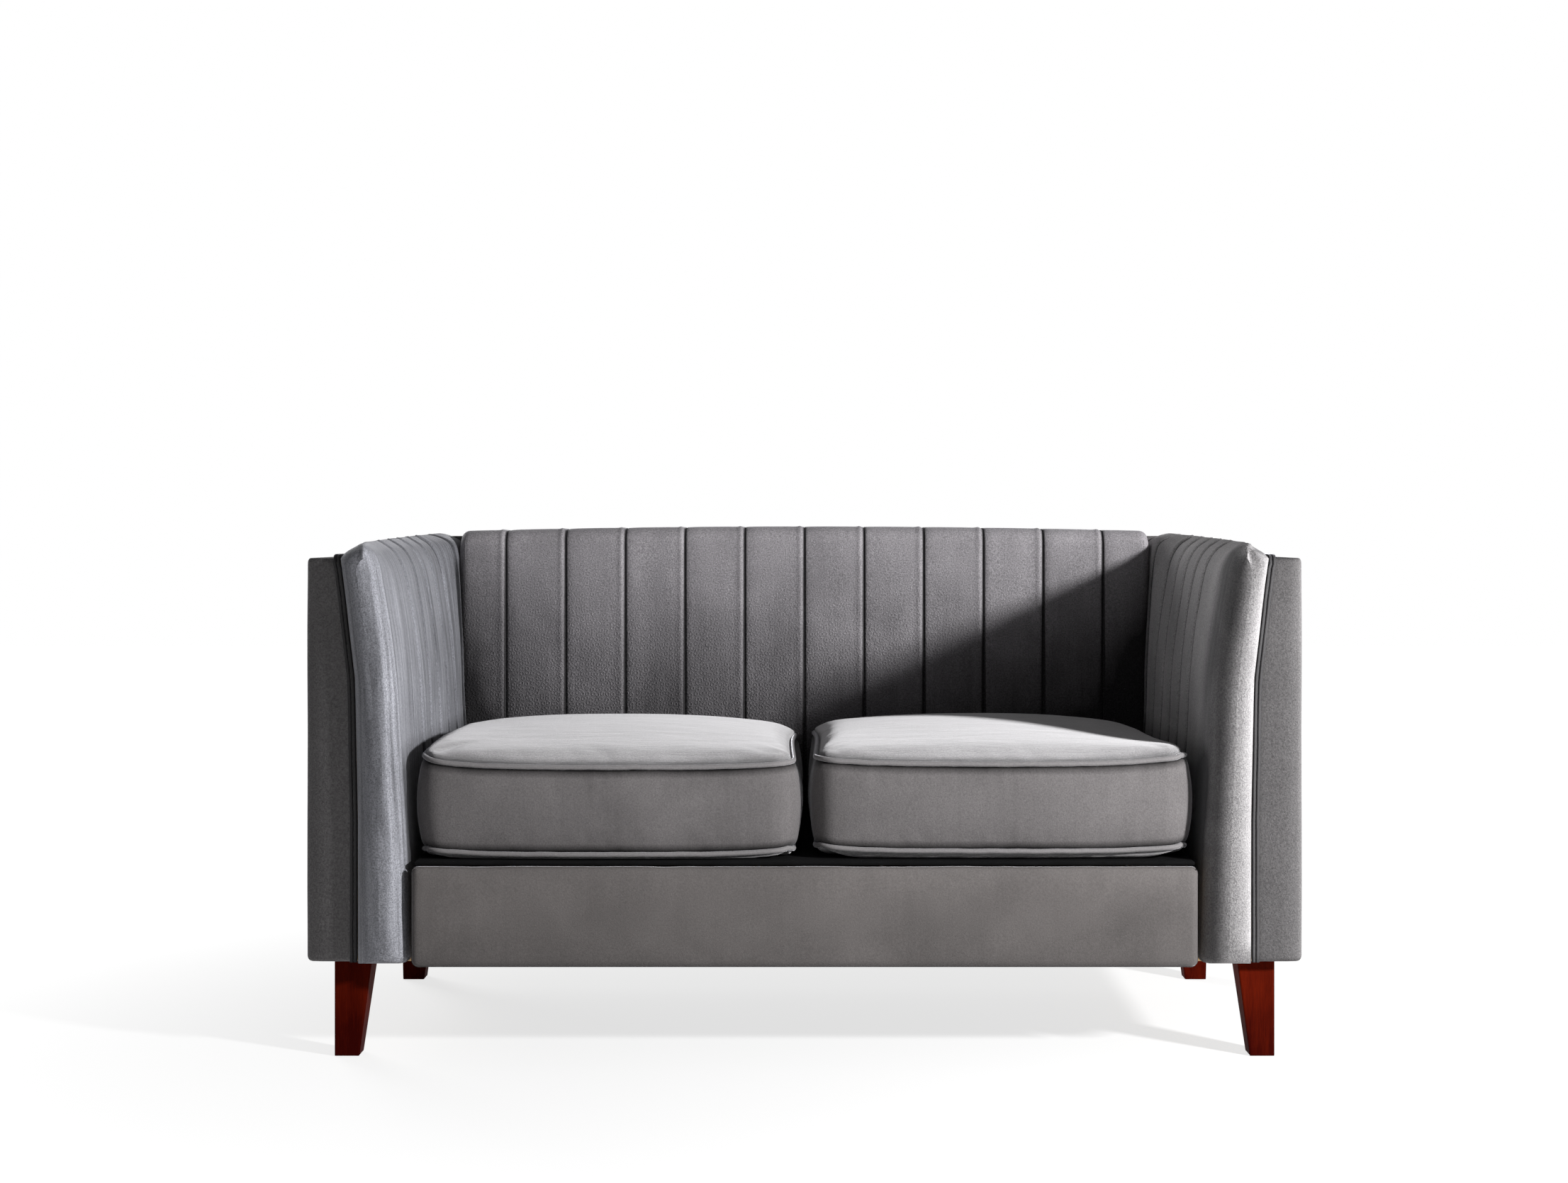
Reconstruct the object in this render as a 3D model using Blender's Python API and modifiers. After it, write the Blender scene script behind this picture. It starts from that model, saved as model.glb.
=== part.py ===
"""A two-seat sofa with channelled arms and back, loose box cushions and tapered wooden legs.

Metres, +Z up. The origin is on the floor under the middle of the sofa. +X is the right
as seen from the front, which is -Y, and the names say left and right in the same way.
"""

import math

import bmesh
import bpy
from mathutils import Vector

# Overall sizes
OVERALL_WIDTH = 1.470
OVERALL_DEPTH = 0.780
ARM_PANEL_HEIGHT = 0.741
LEG_HEIGHT = 0.145

# Gaps between pieces that touch
TOUCH_GAP = 0.0003
FRAME_GAP = 0.0005

# Timber, boards and cloth
BOARD_THICKNESS = 0.028
POST_DEPTH = 0.045
TIMBER_EDGE = 0.003
PLY_THICKNESS = 0.009
HARDBOARD_THICKNESS = 0.004
UPHOLSTERY_WALL = 0.006
PANEL_EDGE_RADIUS = 0.008
DUST_CLOTH_THICKNESS = 0.0012
CUT_OVERRUN = 0.002

# Legs and the bolts that hold them
LEG_TOP_WIDTH = 0.056
LEG_FOOT_WIDTH = 0.037
LEG_EDGE = 0.0015
LEG_SIDE_INSET = 0.036
LEG_FRONT_INSET = 0.030
LEG_REAR_INSET = 0.070
BOLT_DIAMETER = 0.008
BOLT_LENGTH = 0.058
BOLT_HOLE_GAP = 0.0004

# Arms
ARM_PANEL_FACE_WIDTH = 0.065
ARM_FLARE = 0.025
ARM_PANEL_FRONT_SETBACK = 0.040
ARM_PAD_WIDTH = 0.078
ARM_RIDGE_RISE = 0.021
ARM_RIDGE_CLIMB = 0.015
ARM_BASE_THICKNESS = 0.025
ARM_TOP_RAIL_HEIGHT = 0.040
ARM_CORNER_RADIUS = 0.010
ARM_FRONT_ROUND = 0.034
ARM_CHANNEL_PITCH = 0.0876
ARM_FRONT_CHANNEL = 0.237
ARM_REAR_BLEND = 0.110
DOUBLE_WELT_CORD = 0.0056
WELT_BEND_RADIUS = 0.012

# Channels sewn into the arm and back pads
CHANNEL_GROOVE_DEPTH = 0.008
CHANNEL_SHOULDER_DEPTH = 0.0022
CHANNEL_SHOULDER_RUN = 0.009
CHANNEL_CROWN_RUN = 0.026

# Back
BACK_RISE = 0.048
BACK_PAD_TUCK = 0.0248
BACK_PAD_THICKNESS = 0.050
BACK_FACE_SETBACK = 0.090
BACK_COVER_THICKNESS = 0.005
BACK_TOP_ROUND = 0.026
BACK_END_ROUND = 0.014
BACK_TOP_DIP = 0.008
BACK_CHANNEL_PITCH = 0.1045
BACK_LAST_CHANNEL = 0.040
BACK_RAIL_HEIGHT = 0.040
BACK_POST_WIDTH = 0.045

# Seat base and its padded front rail
RAIL_COVER_HEIGHT = 0.150
RAIL_COVER_DROP = 0.002
RAIL_COVER_SETBACK = 0.005
RAIL_COVER_RETURN = 0.013
RAIL_TO_ARM_GAP = 0.005
CENTRE_RAIL_HEIGHT = 0.090
DECK_THICKNESS = 0.006
SPRINGS_PER_SEAT = 3
SPRING_WIRE = 0.0038
SPRING_WIDTH = 0.050
SPRING_WAVE = 0.072
SPRING_REST = 0.018

# Seat cushions
CUSHION_HEIGHT = 0.138
CUSHION_CROWN = 0.054
CUSHION_CORNER_RADIUS = 0.036
CUSHION_FRONT_SETBACK = 0.020
CUSHION_BACK_GAP = 0.008
CUSHION_ARM_GAP = 0.016
CUSHION_CENTRE_GAP = 0.012
CUSHION_FRONT_BOW = 0.012
CUSHION_SIDE_DRAW = 0.005
CUSHION_BOX_BULGE = 0.007
CUSHION_CORNER_LIFT = 0.008
CUSHION_CLOTH = 0.002
CUSHION_WELT = 0.008
WELT_GROOVE_DEPTH = 0.010
WELT_GROOVE_HALF = 0.008
WELT_SINK = 0.002
FOAM_GAP = 0.0006
FOAM_CROWN_GAP = 0.006
ZIP_WIDTH = 0.008
ZIP_PROUD = 0.0005
ZIP_GAP = 0.0004
SLIDER_LENGTH = 0.012
SLIDER_WIDTH = 0.007
SLIDER_THICKNESS = 0.0025
SLIDER_TAB_LENGTH = 0.016
SLIDER_TAB_WIDTH = 0.004

# Places that follow from the sizes above
FRONT = -OVERALL_DEPTH / 2
REAR = OVERALL_DEPTH / 2
SIDE = OVERALL_WIDTH / 2
ARM_REAR = REAR - BACK_COVER_THICKNESS - TOUCH_GAP
ARM_PANEL_FRONT = FRONT + ARM_PANEL_FRONT_SETBACK
DOUBLE_WELT_WIDTH = 2 * DOUBLE_WELT_CORD + 2 * TOUCH_GAP
ARM_PAD_OUTER = SIDE - ARM_PANEL_FACE_WIDTH - DOUBLE_WELT_WIDTH
ARM_PAD_INNER = ARM_PAD_OUTER - ARM_PAD_WIDTH
ARM_RIDGE = ARM_PANEL_HEIGHT + ARM_RIDGE_RISE
RAIL_COVER_BOTTOM = LEG_HEIGHT - RAIL_COVER_DROP
RAIL_COVER_TOP = RAIL_COVER_BOTTOM + RAIL_COVER_HEIGHT
RAIL_COVER_FRONT = FRONT + RAIL_COVER_SETBACK
RAIL_COVER_SIDE = ARM_PAD_INNER - RAIL_TO_ARM_GAP
RAIL_BOTTOM = RAIL_COVER_BOTTOM + UPHOLSTERY_WALL + FRAME_GAP
RAIL_TOP = RAIL_COVER_TOP - UPHOLSTERY_WALL - FRAME_GAP
RAIL_SIDE = RAIL_COVER_SIDE - UPHOLSTERY_WALL - FRAME_GAP
RAIL_FRONT = RAIL_COVER_FRONT + UPHOLSTERY_WALL + FRAME_GAP
BACK_FACE = REAR - BACK_FACE_SETBACK
BACK_PAD_REAR = BACK_FACE + BACK_PAD_THICKNESS
BACK_SIDE = ARM_PAD_INNER + BACK_PAD_TUCK
BACK_HEIGHT = ARM_PANEL_HEIGHT + BACK_RISE
BACK_BOARD_FRONT = BACK_PAD_REAR + TOUCH_GAP
BACK_FRAME_FRONT = BACK_BOARD_FRONT + HARDBOARD_THICKNESS + TOUCH_GAP
BACK_FRAME_REAR = ARM_REAR
REAR_RAIL_REAR = BACK_FRAME_FRONT - TOUCH_GAP
REAR_RAIL_FRONT = REAR_RAIL_REAR - BOARD_THICKNESS
SPRING_TOP = RAIL_TOP + TOUCH_GAP + SPRING_WIRE
DECK_BOTTOM = SPRING_TOP + TOUCH_GAP
DECK_TOP = DECK_BOTTOM + DECK_THICKNESS
CUSHION_BOTTOM = DECK_TOP + TOUCH_GAP
CUSHION_FRONT = FRONT + CUSHION_FRONT_SETBACK
CUSHION_REAR = BACK_FACE - CUSHION_BACK_GAP
CUSHION_SPAN = ARM_PAD_INNER - CUSHION_ARM_GAP - CUSHION_CENTRE_GAP / 2
CUSHION_WIDTH = CUSHION_SPAN - 2 * CUSHION_BOX_BULGE
CUSHION_DEPTH = CUSHION_REAR - CUSHION_FRONT - CUSHION_FRONT_BOW - 2 * CUSHION_BOX_BULGE
CUSHION_MIDDLE_X = CUSHION_CENTRE_GAP / 2 + CUSHION_SPAN / 2
CUSHION_MIDDLE_Y = CUSHION_REAR - CUSHION_BOX_BULGE - CUSHION_DEPTH / 2

# The arm's inner face: shares of the ridge's height above the arm's foot, and of the pad's
# width, at the front and beside the back, where the arm is fuller
ARM_INNER_SHARES = (
    (0.25, 0.06, 0.06), (0.50, 0.17, 0.17), (0.65, 0.23, 0.20), (0.76, 0.32, 0.24),
    (0.85, 0.43, 0.28), (0.91, 0.52, 0.31), (0.947, 0.62, 0.34), (0.975, 0.77, 0.42),
    (0.992, 0.96, 0.64), (1.0, 1.09, 0.95),
)
# From the ridge out to the panel: shares of the drop still left, and of the run made
ARM_SLOPE_SHARES = ((0.82, 0.35), (0.42, 0.78), (0.0, 1.0))
# The seam beside the outer panel: shares of the panel's height, and of the flare
ARM_FLARE_SHARES = ((0.0, 0.0), (0.36, 0.0), (0.70, 0.16), (0.83, 0.52), (0.91, 0.72), (1.0, 1.0))
# The rounded front of the arm: shares of the round's depth, and of the narrowing there. The
# arm also loses these shares of the narrowing at its foot and at its ridge.
ARM_FRONT_SHARES = ((0.0, 0.76), (0.10, 0.44), (0.38, 0.14), (0.68, 0.03), (1.0, 0.0))
ARM_FRONT_FOOT_SHARE = 0.30
ARM_FRONT_TOP_SHARE = 0.55
# Points along a cushion's right, rear, left and front edges, as shares of each edge. The zip
# runs from the first to the last of the rear ones.
EDGE_POINT_SHARES = ((0.25, 0.5, 0.75), (0.04, 0.35, 0.65, 0.96), (0.25, 0.5, 0.75), (0.2, 0.4, 0.6, 0.8))
# The crown of a cushion: how far out from its middle, as shares of the outline
CROWN_RING_SHARES = (0.95, 0.84, 0.66, 0.42, 0.16)
FOAM_RING_SHARES = (0.93, 0.70, 0.38, 0.14)
CUSHION_FLAT_SHARE = 0.86
BORDER_LIFT_SHARE = 0.5
CROWN_POWER = 2.6
LIFT_POWER = 6

SIDES = {"left": -1, "right": 1}


def clear_scene():
    for thing in list(bpy.data.objects):
        bpy.data.objects.remove(thing, do_unlink=True)


clear_scene()
sofa = bpy.data.collections.new("tufted_loveseat")
cutters = bpy.data.collections.new("cutters")
bpy.context.scene.collection.children.link(sofa)
bpy.context.scene.collection.children.link(cutters)


def make_material(name, colour, roughness, metallic=0.0):
    material = bpy.data.materials.new(name)
    material.use_nodes = True
    shader = material.node_tree.nodes["Principled BSDF"]
    shader.inputs["Base Color"].default_value = (*colour, 1.0)
    shader.inputs["Roughness"].default_value = roughness
    shader.inputs["Metallic"].default_value = metallic
    material.diffuse_color = (*colour, 1.0)
    return material


def add_object(name, data, material, collection=sofa):
    """Give a mesh or curve its object, its own copy of a finish and its collection."""
    thing = bpy.data.objects.new(name, data)
    finish = material.copy()
    finish.name = name
    data.materials.append(finish)
    collection.objects.link(thing)
    return thing


VELVET = make_material("velvet", (0.165, 0.160, 0.168), 0.85)
WELT_VELVET = make_material("welt_velvet", (0.190, 0.186, 0.195), 0.80)
STAINED_WOOD = make_material("stained_wood", (0.115, 0.022, 0.008), 0.35)
FRAME_WOOD = make_material("frame_wood", (0.55, 0.40, 0.24), 0.70)
FOAM = make_material("foam", (0.80, 0.76, 0.62), 0.95)
BLACK_CLOTH = make_material("black_cloth", (0.015, 0.015, 0.017), 0.95)
STEEL = make_material("steel", (0.45, 0.45, 0.46), 0.35, 1.0)


def box(name, low, high, material, edge=TIMBER_EDGE, collection=sofa):
    """A box between two corners, with its edges eased by a bevel."""
    shape = bmesh.new()
    bmesh.ops.create_cube(shape, size=1)
    for vertex in shape.verts:
        vertex.co = Vector(
            (high[i] if vertex.co[i] > 0 else low[i]) for i in range(3)
        )
    mesh = bpy.data.meshes.new(name)
    shape.to_mesh(mesh)
    shape.free()
    thing = add_object(name, mesh, material, collection)
    if edge:
        bevel = thing.modifiers.new("eased_edges", "BEVEL")
        bevel.width = edge
        bevel.segments = 1
        bevel.limit_method = "ANGLE"
    return thing


def mirrored(low, high, side):
    """A box given on the right-hand side, moved to the side asked for."""
    if side > 0:
        return low, high
    return (-high[0], low[1], low[2]), (-low[0], high[1], high[2])


def loft(name, rings, material, caps=True, skip=None):
    """Join rings of equal length into a skin, with a face at either end.

    skip(band, step) names the quads that are left out, which leaves an opening.
    """
    shape = bmesh.new()
    rows = [[shape.verts.new(point) for point in ring] for ring in rings]
    count = len(rings[0])
    for band, (row, above) in enumerate(zip(rows, rows[1:])):
        for step in range(count):
            if skip and skip(band, step):
                continue
            after = (step + 1) % count
            shape.faces.new((row[step], row[after], above[after], above[step]))
    if caps:
        shape.faces.new(rows[0])
        shape.faces.new(rows[-1])
    bmesh.ops.recalc_face_normals(shape, faces=shape.faces)
    mesh = bpy.data.meshes.new(name)
    shape.to_mesh(mesh)
    shape.free()
    mesh.shade_smooth()
    mesh.set_sharp_from_angle(angle=math.radians(40))
    return add_object(name, mesh, material)


def add_wall(thing, thickness):
    """Turn an open skin into a shell, its wall growing inwards."""
    wall = thing.modifiers.new("wall", "SOLIDIFY")
    wall.thickness = thickness
    wall.offset = -1
    wall.use_even_offset = True


def drill(thing, name, x, y, low, high, diameter):
    """Cut an upright round hole."""
    shape = bmesh.new()
    bmesh.ops.create_cone(
        shape, cap_ends=True, segments=12, radius1=diameter / 2, radius2=diameter / 2, depth=high - low
    )
    mesh = bpy.data.meshes.new(name)
    shape.to_mesh(mesh)
    shape.free()
    cutter = add_object(name, mesh, STEEL, cutters)
    cutter.location = (x, y, (low + high) / 2)
    cutter.hide_render = True
    cutter.display_type = "WIRE"
    cut = thing.modifiers.new(name, "BOOLEAN")
    cut.operation = "DIFFERENCE"
    cut.object = cutter


def between(table, share):
    """Read a table of share pairs in straight runs between its entries."""
    for (low, first), (high, second) in zip(table, table[1:]):
        if share <= high:
            return first + (second - first) * (share - low) / (high - low)
    return table[-1][1]


def inset_ring(points, amounts):
    """Move each point of a closed clockwise outline inwards, square to its neighbours."""
    count = len(points)
    moved = []
    for i, (x, y) in enumerate(points):
        before = points[i - 1]
        after = points[(i + 1) % count]
        run = Vector((after[0] - before[0], after[1] - before[1])).normalized()
        moved.append((x + run.y * amounts[i], y - run.x * amounts[i]))
    return moved


# Legs, with a bolt in each

LEG_PLACES = {
    "front_left": (-1, -1),
    "front_right": (1, -1),
    "rear_left": (-1, 1),
    "rear_right": (1, 1),
}


def leg_corner(end):
    """The outer corner of a leg: its X, and its Y towards the front or the rear."""
    x = SIDE - LEG_SIDE_INSET
    y = ARM_PANEL_FRONT + LEG_FRONT_INSET if end < 0 else ARM_REAR - LEG_REAR_INSET
    return x, y


def bolt_place(end):
    x, y = leg_corner(end)
    return x - LEG_FOOT_WIDTH / 2, y - end * LEG_FOOT_WIDTH / 2


def make_leg(place, side, end):
    """A square leg, upright on its two outer faces and tapered on its two inner faces."""
    x, y = leg_corner(end)
    top = LEG_HEIGHT - TOUCH_GAP
    low = (x - LEG_TOP_WIDTH, min(y, y - end * LEG_TOP_WIDTH), 0)
    high = (x, max(y, y - end * LEG_TOP_WIDTH), top)
    leg = box(f"leg_{place}", *mirrored(low, high, side), STAINED_WOOD, LEG_EDGE)
    taper = LEG_TOP_WIDTH - LEG_FOOT_WIDTH
    for vertex in leg.data.vertices:
        if vertex.co.z > top / 2:
            continue
        if abs(vertex.co.x) < x - LEG_TOP_WIDTH / 2:
            vertex.co.x += side * taper
        if end * vertex.co.y < end * (y - end * LEG_TOP_WIDTH / 2):
            vertex.co.y += end * taper
    bolt_x, bolt_y = bolt_place(end)
    middle = LEG_HEIGHT
    hole = BOLT_DIAMETER + 2 * BOLT_HOLE_GAP
    drill(
        leg, f"cut_leg_{place}", side * bolt_x, bolt_y,
        middle - BOLT_LENGTH / 2 - BOLT_HOLE_GAP, middle + CUT_OVERRUN, hole,
    )
    shape = bmesh.new()
    reach = min(BOLT_LENGTH / 2, ARM_BASE_THICKNESS - BOLT_HOLE_GAP)
    bottom = middle - BOLT_LENGTH / 2
    bmesh.ops.create_cone(
        shape, cap_ends=True, segments=12, radius1=BOLT_DIAMETER / 2, radius2=BOLT_DIAMETER / 2,
        depth=middle + reach - bottom,
    )
    mesh = bpy.data.meshes.new(f"leg_bolt_{place}")
    shape.to_mesh(mesh)
    shape.free()
    bolt = add_object(f"leg_bolt_{place}", mesh, STEEL)
    bolt.location = (side * bolt_x, bolt_y, (middle + reach + bottom) / 2)


for place, (side, end) in LEG_PLACES.items():
    make_leg(place, side, end)


# Arm shapes, worked out on the right-hand side


def seam_x(z):
    """Where the arm pad meets the welt, which flares outwards near the top."""
    share = (z - LEG_HEIGHT) / (ARM_PANEL_HEIGHT - LEG_HEIGHT)
    return ARM_PAD_OUTER + ARM_FLARE * between(ARM_FLARE_SHARES, min(max(share, 0.0), 1.0))


def ridge_z(y):
    """The arm's ridge climbs towards the back."""
    share = (y - FRONT) / (REAR - FRONT)
    return ARM_RIDGE + ARM_RIDGE_CLIMB * share


def arm_section(y):
    """The outline of the arm pad across the arm, from its lower inner corner, up and over."""
    foot = LEG_HEIGHT + TOUCH_GAP
    ridge = ridge_z(y)
    fuller = min(max(1 - (BACK_FACE - y) / ARM_REAR_BLEND, 0.0), 1.0)
    points = [(ARM_PAD_INNER + ARM_CORNER_RADIUS, foot), (ARM_PAD_INNER, foot + ARM_CORNER_RADIUS)]
    for height, front_lean, rear_lean in ARM_INNER_SHARES:
        lean = front_lean + (rear_lean - front_lean) * fuller
        points.append((ARM_PAD_INNER + lean * ARM_PAD_WIDTH, foot + height * (ridge - foot)))
    top_x = points[-1][0]
    seam_top = seam_x(ARM_PANEL_HEIGHT)
    for drop, run in ARM_SLOPE_SHARES:
        points.append((
            top_x + run * (seam_top - top_x),
            ARM_PANEL_HEIGHT + drop * (ridge - ARM_PANEL_HEIGHT),
        ))
    for share, flare in reversed(ARM_FLARE_SHARES[1:-1]):
        z = LEG_HEIGHT + share * (ARM_PANEL_HEIGHT - LEG_HEIGHT)
        points.append((seam_x(z), z))
    points.append((seam_x(LEG_HEIGHT), foot))
    return points


def arm_middle(points, z):
    """Midway between the two faces of an upright outline, at a height."""
    crossings = []
    for (x, low), (after_x, high) in zip(points, points[1:] + points[:1]):
        if low != high and min(low, high) <= z <= max(low, high):
            crossings.append(x + (after_x - x) * (z - low) / (high - low))
    return (min(crossings) + max(crossings)) / 2


def channel_stations(first, pitch, limit):
    """Places along a pad, with how deep the sewn channel draws it in at each."""
    stations = []
    place = first
    while place < limit:
        stations += [
            (place - CHANNEL_CROWN_RUN, 0.0),
            (place - CHANNEL_SHOULDER_RUN, CHANNEL_SHOULDER_DEPTH),
            (place, CHANNEL_GROOVE_DEPTH),
            (place + CHANNEL_SHOULDER_RUN, CHANNEL_SHOULDER_DEPTH),
            (place + CHANNEL_CROWN_RUN, 0.0),
        ]
        place += pitch
    return stations


def arm_pad_rings():
    inner_count = 2 + len(ARM_INNER_SHARES) + len(ARM_SLOPE_SHARES)
    base_front = ARM_PANEL_FRONT + UPHOLSTERY_WALL
    board_top = LEG_HEIGHT + ARM_BASE_THICKNESS + TOUCH_GAP
    back_front = BACK_FACE - TOUCH_GAP
    back_side = BACK_SIDE + TOUCH_GAP
    rings = []

    def add_ring(y, depth, foot=LEG_HEIGHT + TOUCH_GAP, inner=ARM_PAD_INNER):
        points = arm_section(y)
        amounts = [depth if 0 < i < inner_count - 2 else 0.0 for i in range(len(points))]
        rings.append([(max(x, inner), y, max(z, foot)) for x, z in inset_ring(points, amounts)])

    def add_front_ring(y, narrowing):
        """The whole outline drawn towards its own middle line, its foot and its ridge less."""
        points = arm_section(y)
        foot = LEG_HEIGHT + TOUCH_GAP
        height = ridge_z(y) - foot
        lost = narrowing * ARM_PAD_WIDTH / 2
        low = foot + lost * ARM_FRONT_FOOT_SHARE
        kept = 1 - lost * (ARM_FRONT_FOOT_SHARE + ARM_FRONT_TOP_SHARE) / height
        ring = []
        for x, z in points:
            middle = arm_middle(points, z)
            ring.append((middle + (x - middle) * (1 - narrowing), y, low + (z - foot) * kept))
        rings.append(ring)

    for share, narrowing in ARM_FRONT_SHARES:
        add_front_ring(FRONT + share * ARM_FRONT_ROUND, narrowing)
    add_ring(base_front - TOUCH_GAP, 0.0)
    add_ring(base_front, 0.0, board_top)
    stations = channel_stations(FRONT + ARM_FRONT_CHANNEL, ARM_CHANNEL_PITCH, BACK_FACE - TOUCH_GAP)
    for y, depth in stations:
        if base_front < y < back_front - CHANNEL_SHOULDER_RUN:
            add_ring(y, depth, board_top)
    add_ring(back_front - TOUCH_GAP, 0.0, board_top)
    add_ring(back_front, 0.0, board_top, back_side)
    add_ring(ARM_REAR - TOUCH_GAP, 0.0, board_top, back_side)
    return rings


def flip(ring, side):
    return [(side * x, y, z) for x, y, z in ring]


def panel_section():
    """The outline of the outer arm panel, seen from the front, with its open side first."""
    points = []
    for share, flare in ARM_FLARE_SHARES:
        z = LEG_HEIGHT + share * (ARM_PANEL_HEIGHT - LEG_HEIGHT)
        points.append((seam_x(z) + DOUBLE_WELT_WIDTH, z))
    points.append((SIDE, ARM_PANEL_HEIGHT))
    points.append((SIDE, LEG_HEIGHT))
    return points


def welt_section(middle, outward):
    """Two cords side by side, as one outline across the welt's path."""
    cord = DOUBLE_WELT_CORD / 2
    across = Vector((1, 0, 0))
    ring = []
    for centre, angles in ((cord, (-30, 30, 90, 150)), (-cord, (30, 90, 150, 210))):
        for angle in angles:
            turn = math.radians(angle)
            ring.append(
                middle + across * (centre + cord * math.cos(turn)) + outward * (cord * math.sin(turn))
            )
    base = -outward * (cord * math.sin(math.radians(60)))
    ring.append(middle - across * cord + base)
    ring.append(middle + across * cord + base)
    return ring


def double_welt_rings():
    """Up the front of the arm beside the panel, round the corner and back along the top."""
    cord = DOUBLE_WELT_CORD / 2
    away = cord + TOUCH_GAP
    front_y = ARM_PANEL_FRONT - away
    top_z = ARM_PANEL_HEIGHT + away
    half = DOUBLE_WELT_WIDTH / 2
    rings = []
    for share, flare in ARM_FLARE_SHARES[:-1]:
        z = LEG_HEIGHT + share * (ARM_PANEL_HEIGHT - LEG_HEIGHT)
        rings.append(welt_section(Vector((seam_x(z) + half, front_y, z + TOUCH_GAP)), Vector((0, -1, 0))))
    top_x = seam_x(ARM_PANEL_HEIGHT) + half
    bend_y = front_y + WELT_BEND_RADIUS
    bend_z = top_z - WELT_BEND_RADIUS
    for angle in (0, 30, 60, 90):
        turn = math.radians(angle)
        outward = Vector((0, -math.cos(turn), math.sin(turn)))
        middle = Vector((top_x, bend_y, bend_z)) + WELT_BEND_RADIUS * outward
        rings.append(welt_section(middle, outward))
    rings.append(welt_section(Vector((top_x, ARM_REAR - TOUCH_GAP, top_z)), Vector((0, 0, 1))))
    return rings


def make_arm(word, side):
    rings = [flip(ring, side) for ring in arm_pad_rings()]
    loft(f"arm_pad_{word}", rings, VELVET)

    section = panel_section()
    closed = (len(ARM_FLARE_SHARES) - 1, len(ARM_FLARE_SHARES))
    panel = loft(
        f"arm_outer_panel_{word}",
        [[(side * x, y, z) for x, z in section] for y in (ARM_PANEL_FRONT, ARM_REAR)],
        VELVET,
        skip=lambda band, step: step not in closed,
    )
    rounding = panel.modifiers.new("rounded_edges", "BEVEL")
    rounding.width = PANEL_EDGE_RADIUS
    rounding.segments = 2
    rounding.limit_method = "ANGLE"
    add_wall(panel, UPHOLSTERY_WALL)

    loft(f"arm_double_welt_{word}", [flip(ring, side) for ring in double_welt_rings()], WELT_VELVET)

    base_top = LEG_HEIGHT + ARM_BASE_THICKNESS
    inside_front = ARM_PANEL_FRONT + UPHOLSTERY_WALL + FRAME_GAP
    inside_rear = ARM_REAR - UPHOLSTERY_WALL - FRAME_GAP
    inside_side = SIDE - UPHOLSTERY_WALL - FRAME_GAP
    inside_top = ARM_PANEL_HEIGHT - UPHOLSTERY_WALL - FRAME_GAP
    post_inner = seam_x(ARM_PANEL_HEIGHT) + PLY_THICKNESS + TIMBER_EDGE
    board = box(
        f"arm_base_board_{word}",
        *mirrored(
            (RAIL_SIDE + FRAME_GAP, inside_front, LEG_HEIGHT + TOUCH_GAP),
            (inside_side, inside_rear, base_top),
            side,
        ),
        FRAME_WOOD,
    )
    for end in (-1, 1):
        x, y = bolt_place(end)
        drill(
            board, f"cut_base_{word}_{'rear' if end > 0 else 'front'}", side * x, y,
            LEG_HEIGHT - CUT_OVERRUN, base_top + CUT_OVERRUN, BOLT_DIAMETER + 2 * BOLT_HOLE_GAP,
        )
    post_bottom = base_top + TOUCH_GAP
    box(
        f"arm_front_post_{word}",
        *mirrored((post_inner, inside_front, post_bottom),
                  (inside_side, inside_front + POST_DEPTH, inside_top), side),
        FRAME_WOOD,
    )
    box(
        f"arm_rear_post_{word}",
        *mirrored((post_inner, inside_rear - POST_DEPTH, post_bottom),
                  (inside_side, inside_rear, inside_top), side),
        FRAME_WOOD,
    )
    box(
        f"arm_top_rail_{word}",
        *mirrored(
            (post_inner, inside_front + POST_DEPTH + TOUCH_GAP, inside_top - ARM_TOP_RAIL_HEIGHT),
            (inside_side, inside_rear - POST_DEPTH - TOUCH_GAP, inside_top),
            side,
        ),
        FRAME_WOOD,
    )
    board_ring = []
    heights = [post_bottom]
    heights += [
        LEG_HEIGHT + share * (ARM_PANEL_HEIGHT - LEG_HEIGHT) for share, flare in ARM_FLARE_SHARES[1:]
    ]
    heights[-1] -= TOUCH_GAP
    board_ring += [(seam_x(z) + TOUCH_GAP, z) for z in heights]
    board_ring += [(seam_x(z) + TOUCH_GAP + PLY_THICKNESS, z) for z in reversed(heights)]
    ease = WELT_BEND_RADIUS * 2 / 3
    eased_top = heights[-1] - ease
    loft(
        f"arm_inner_board_{word}",
        [
            [(side * x, y, min(z, top)) for x, z in board_ring]
            for y, top in (
                (ARM_PANEL_FRONT, eased_top),
                (ARM_PANEL_FRONT + ease, heights[-1]),
                (ARM_REAR - TOUCH_GAP, heights[-1]),
            )
        ],
        FRAME_WOOD,
    )


for word, side in SIDES.items():
    make_arm(word, side)


# Seat base


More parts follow.
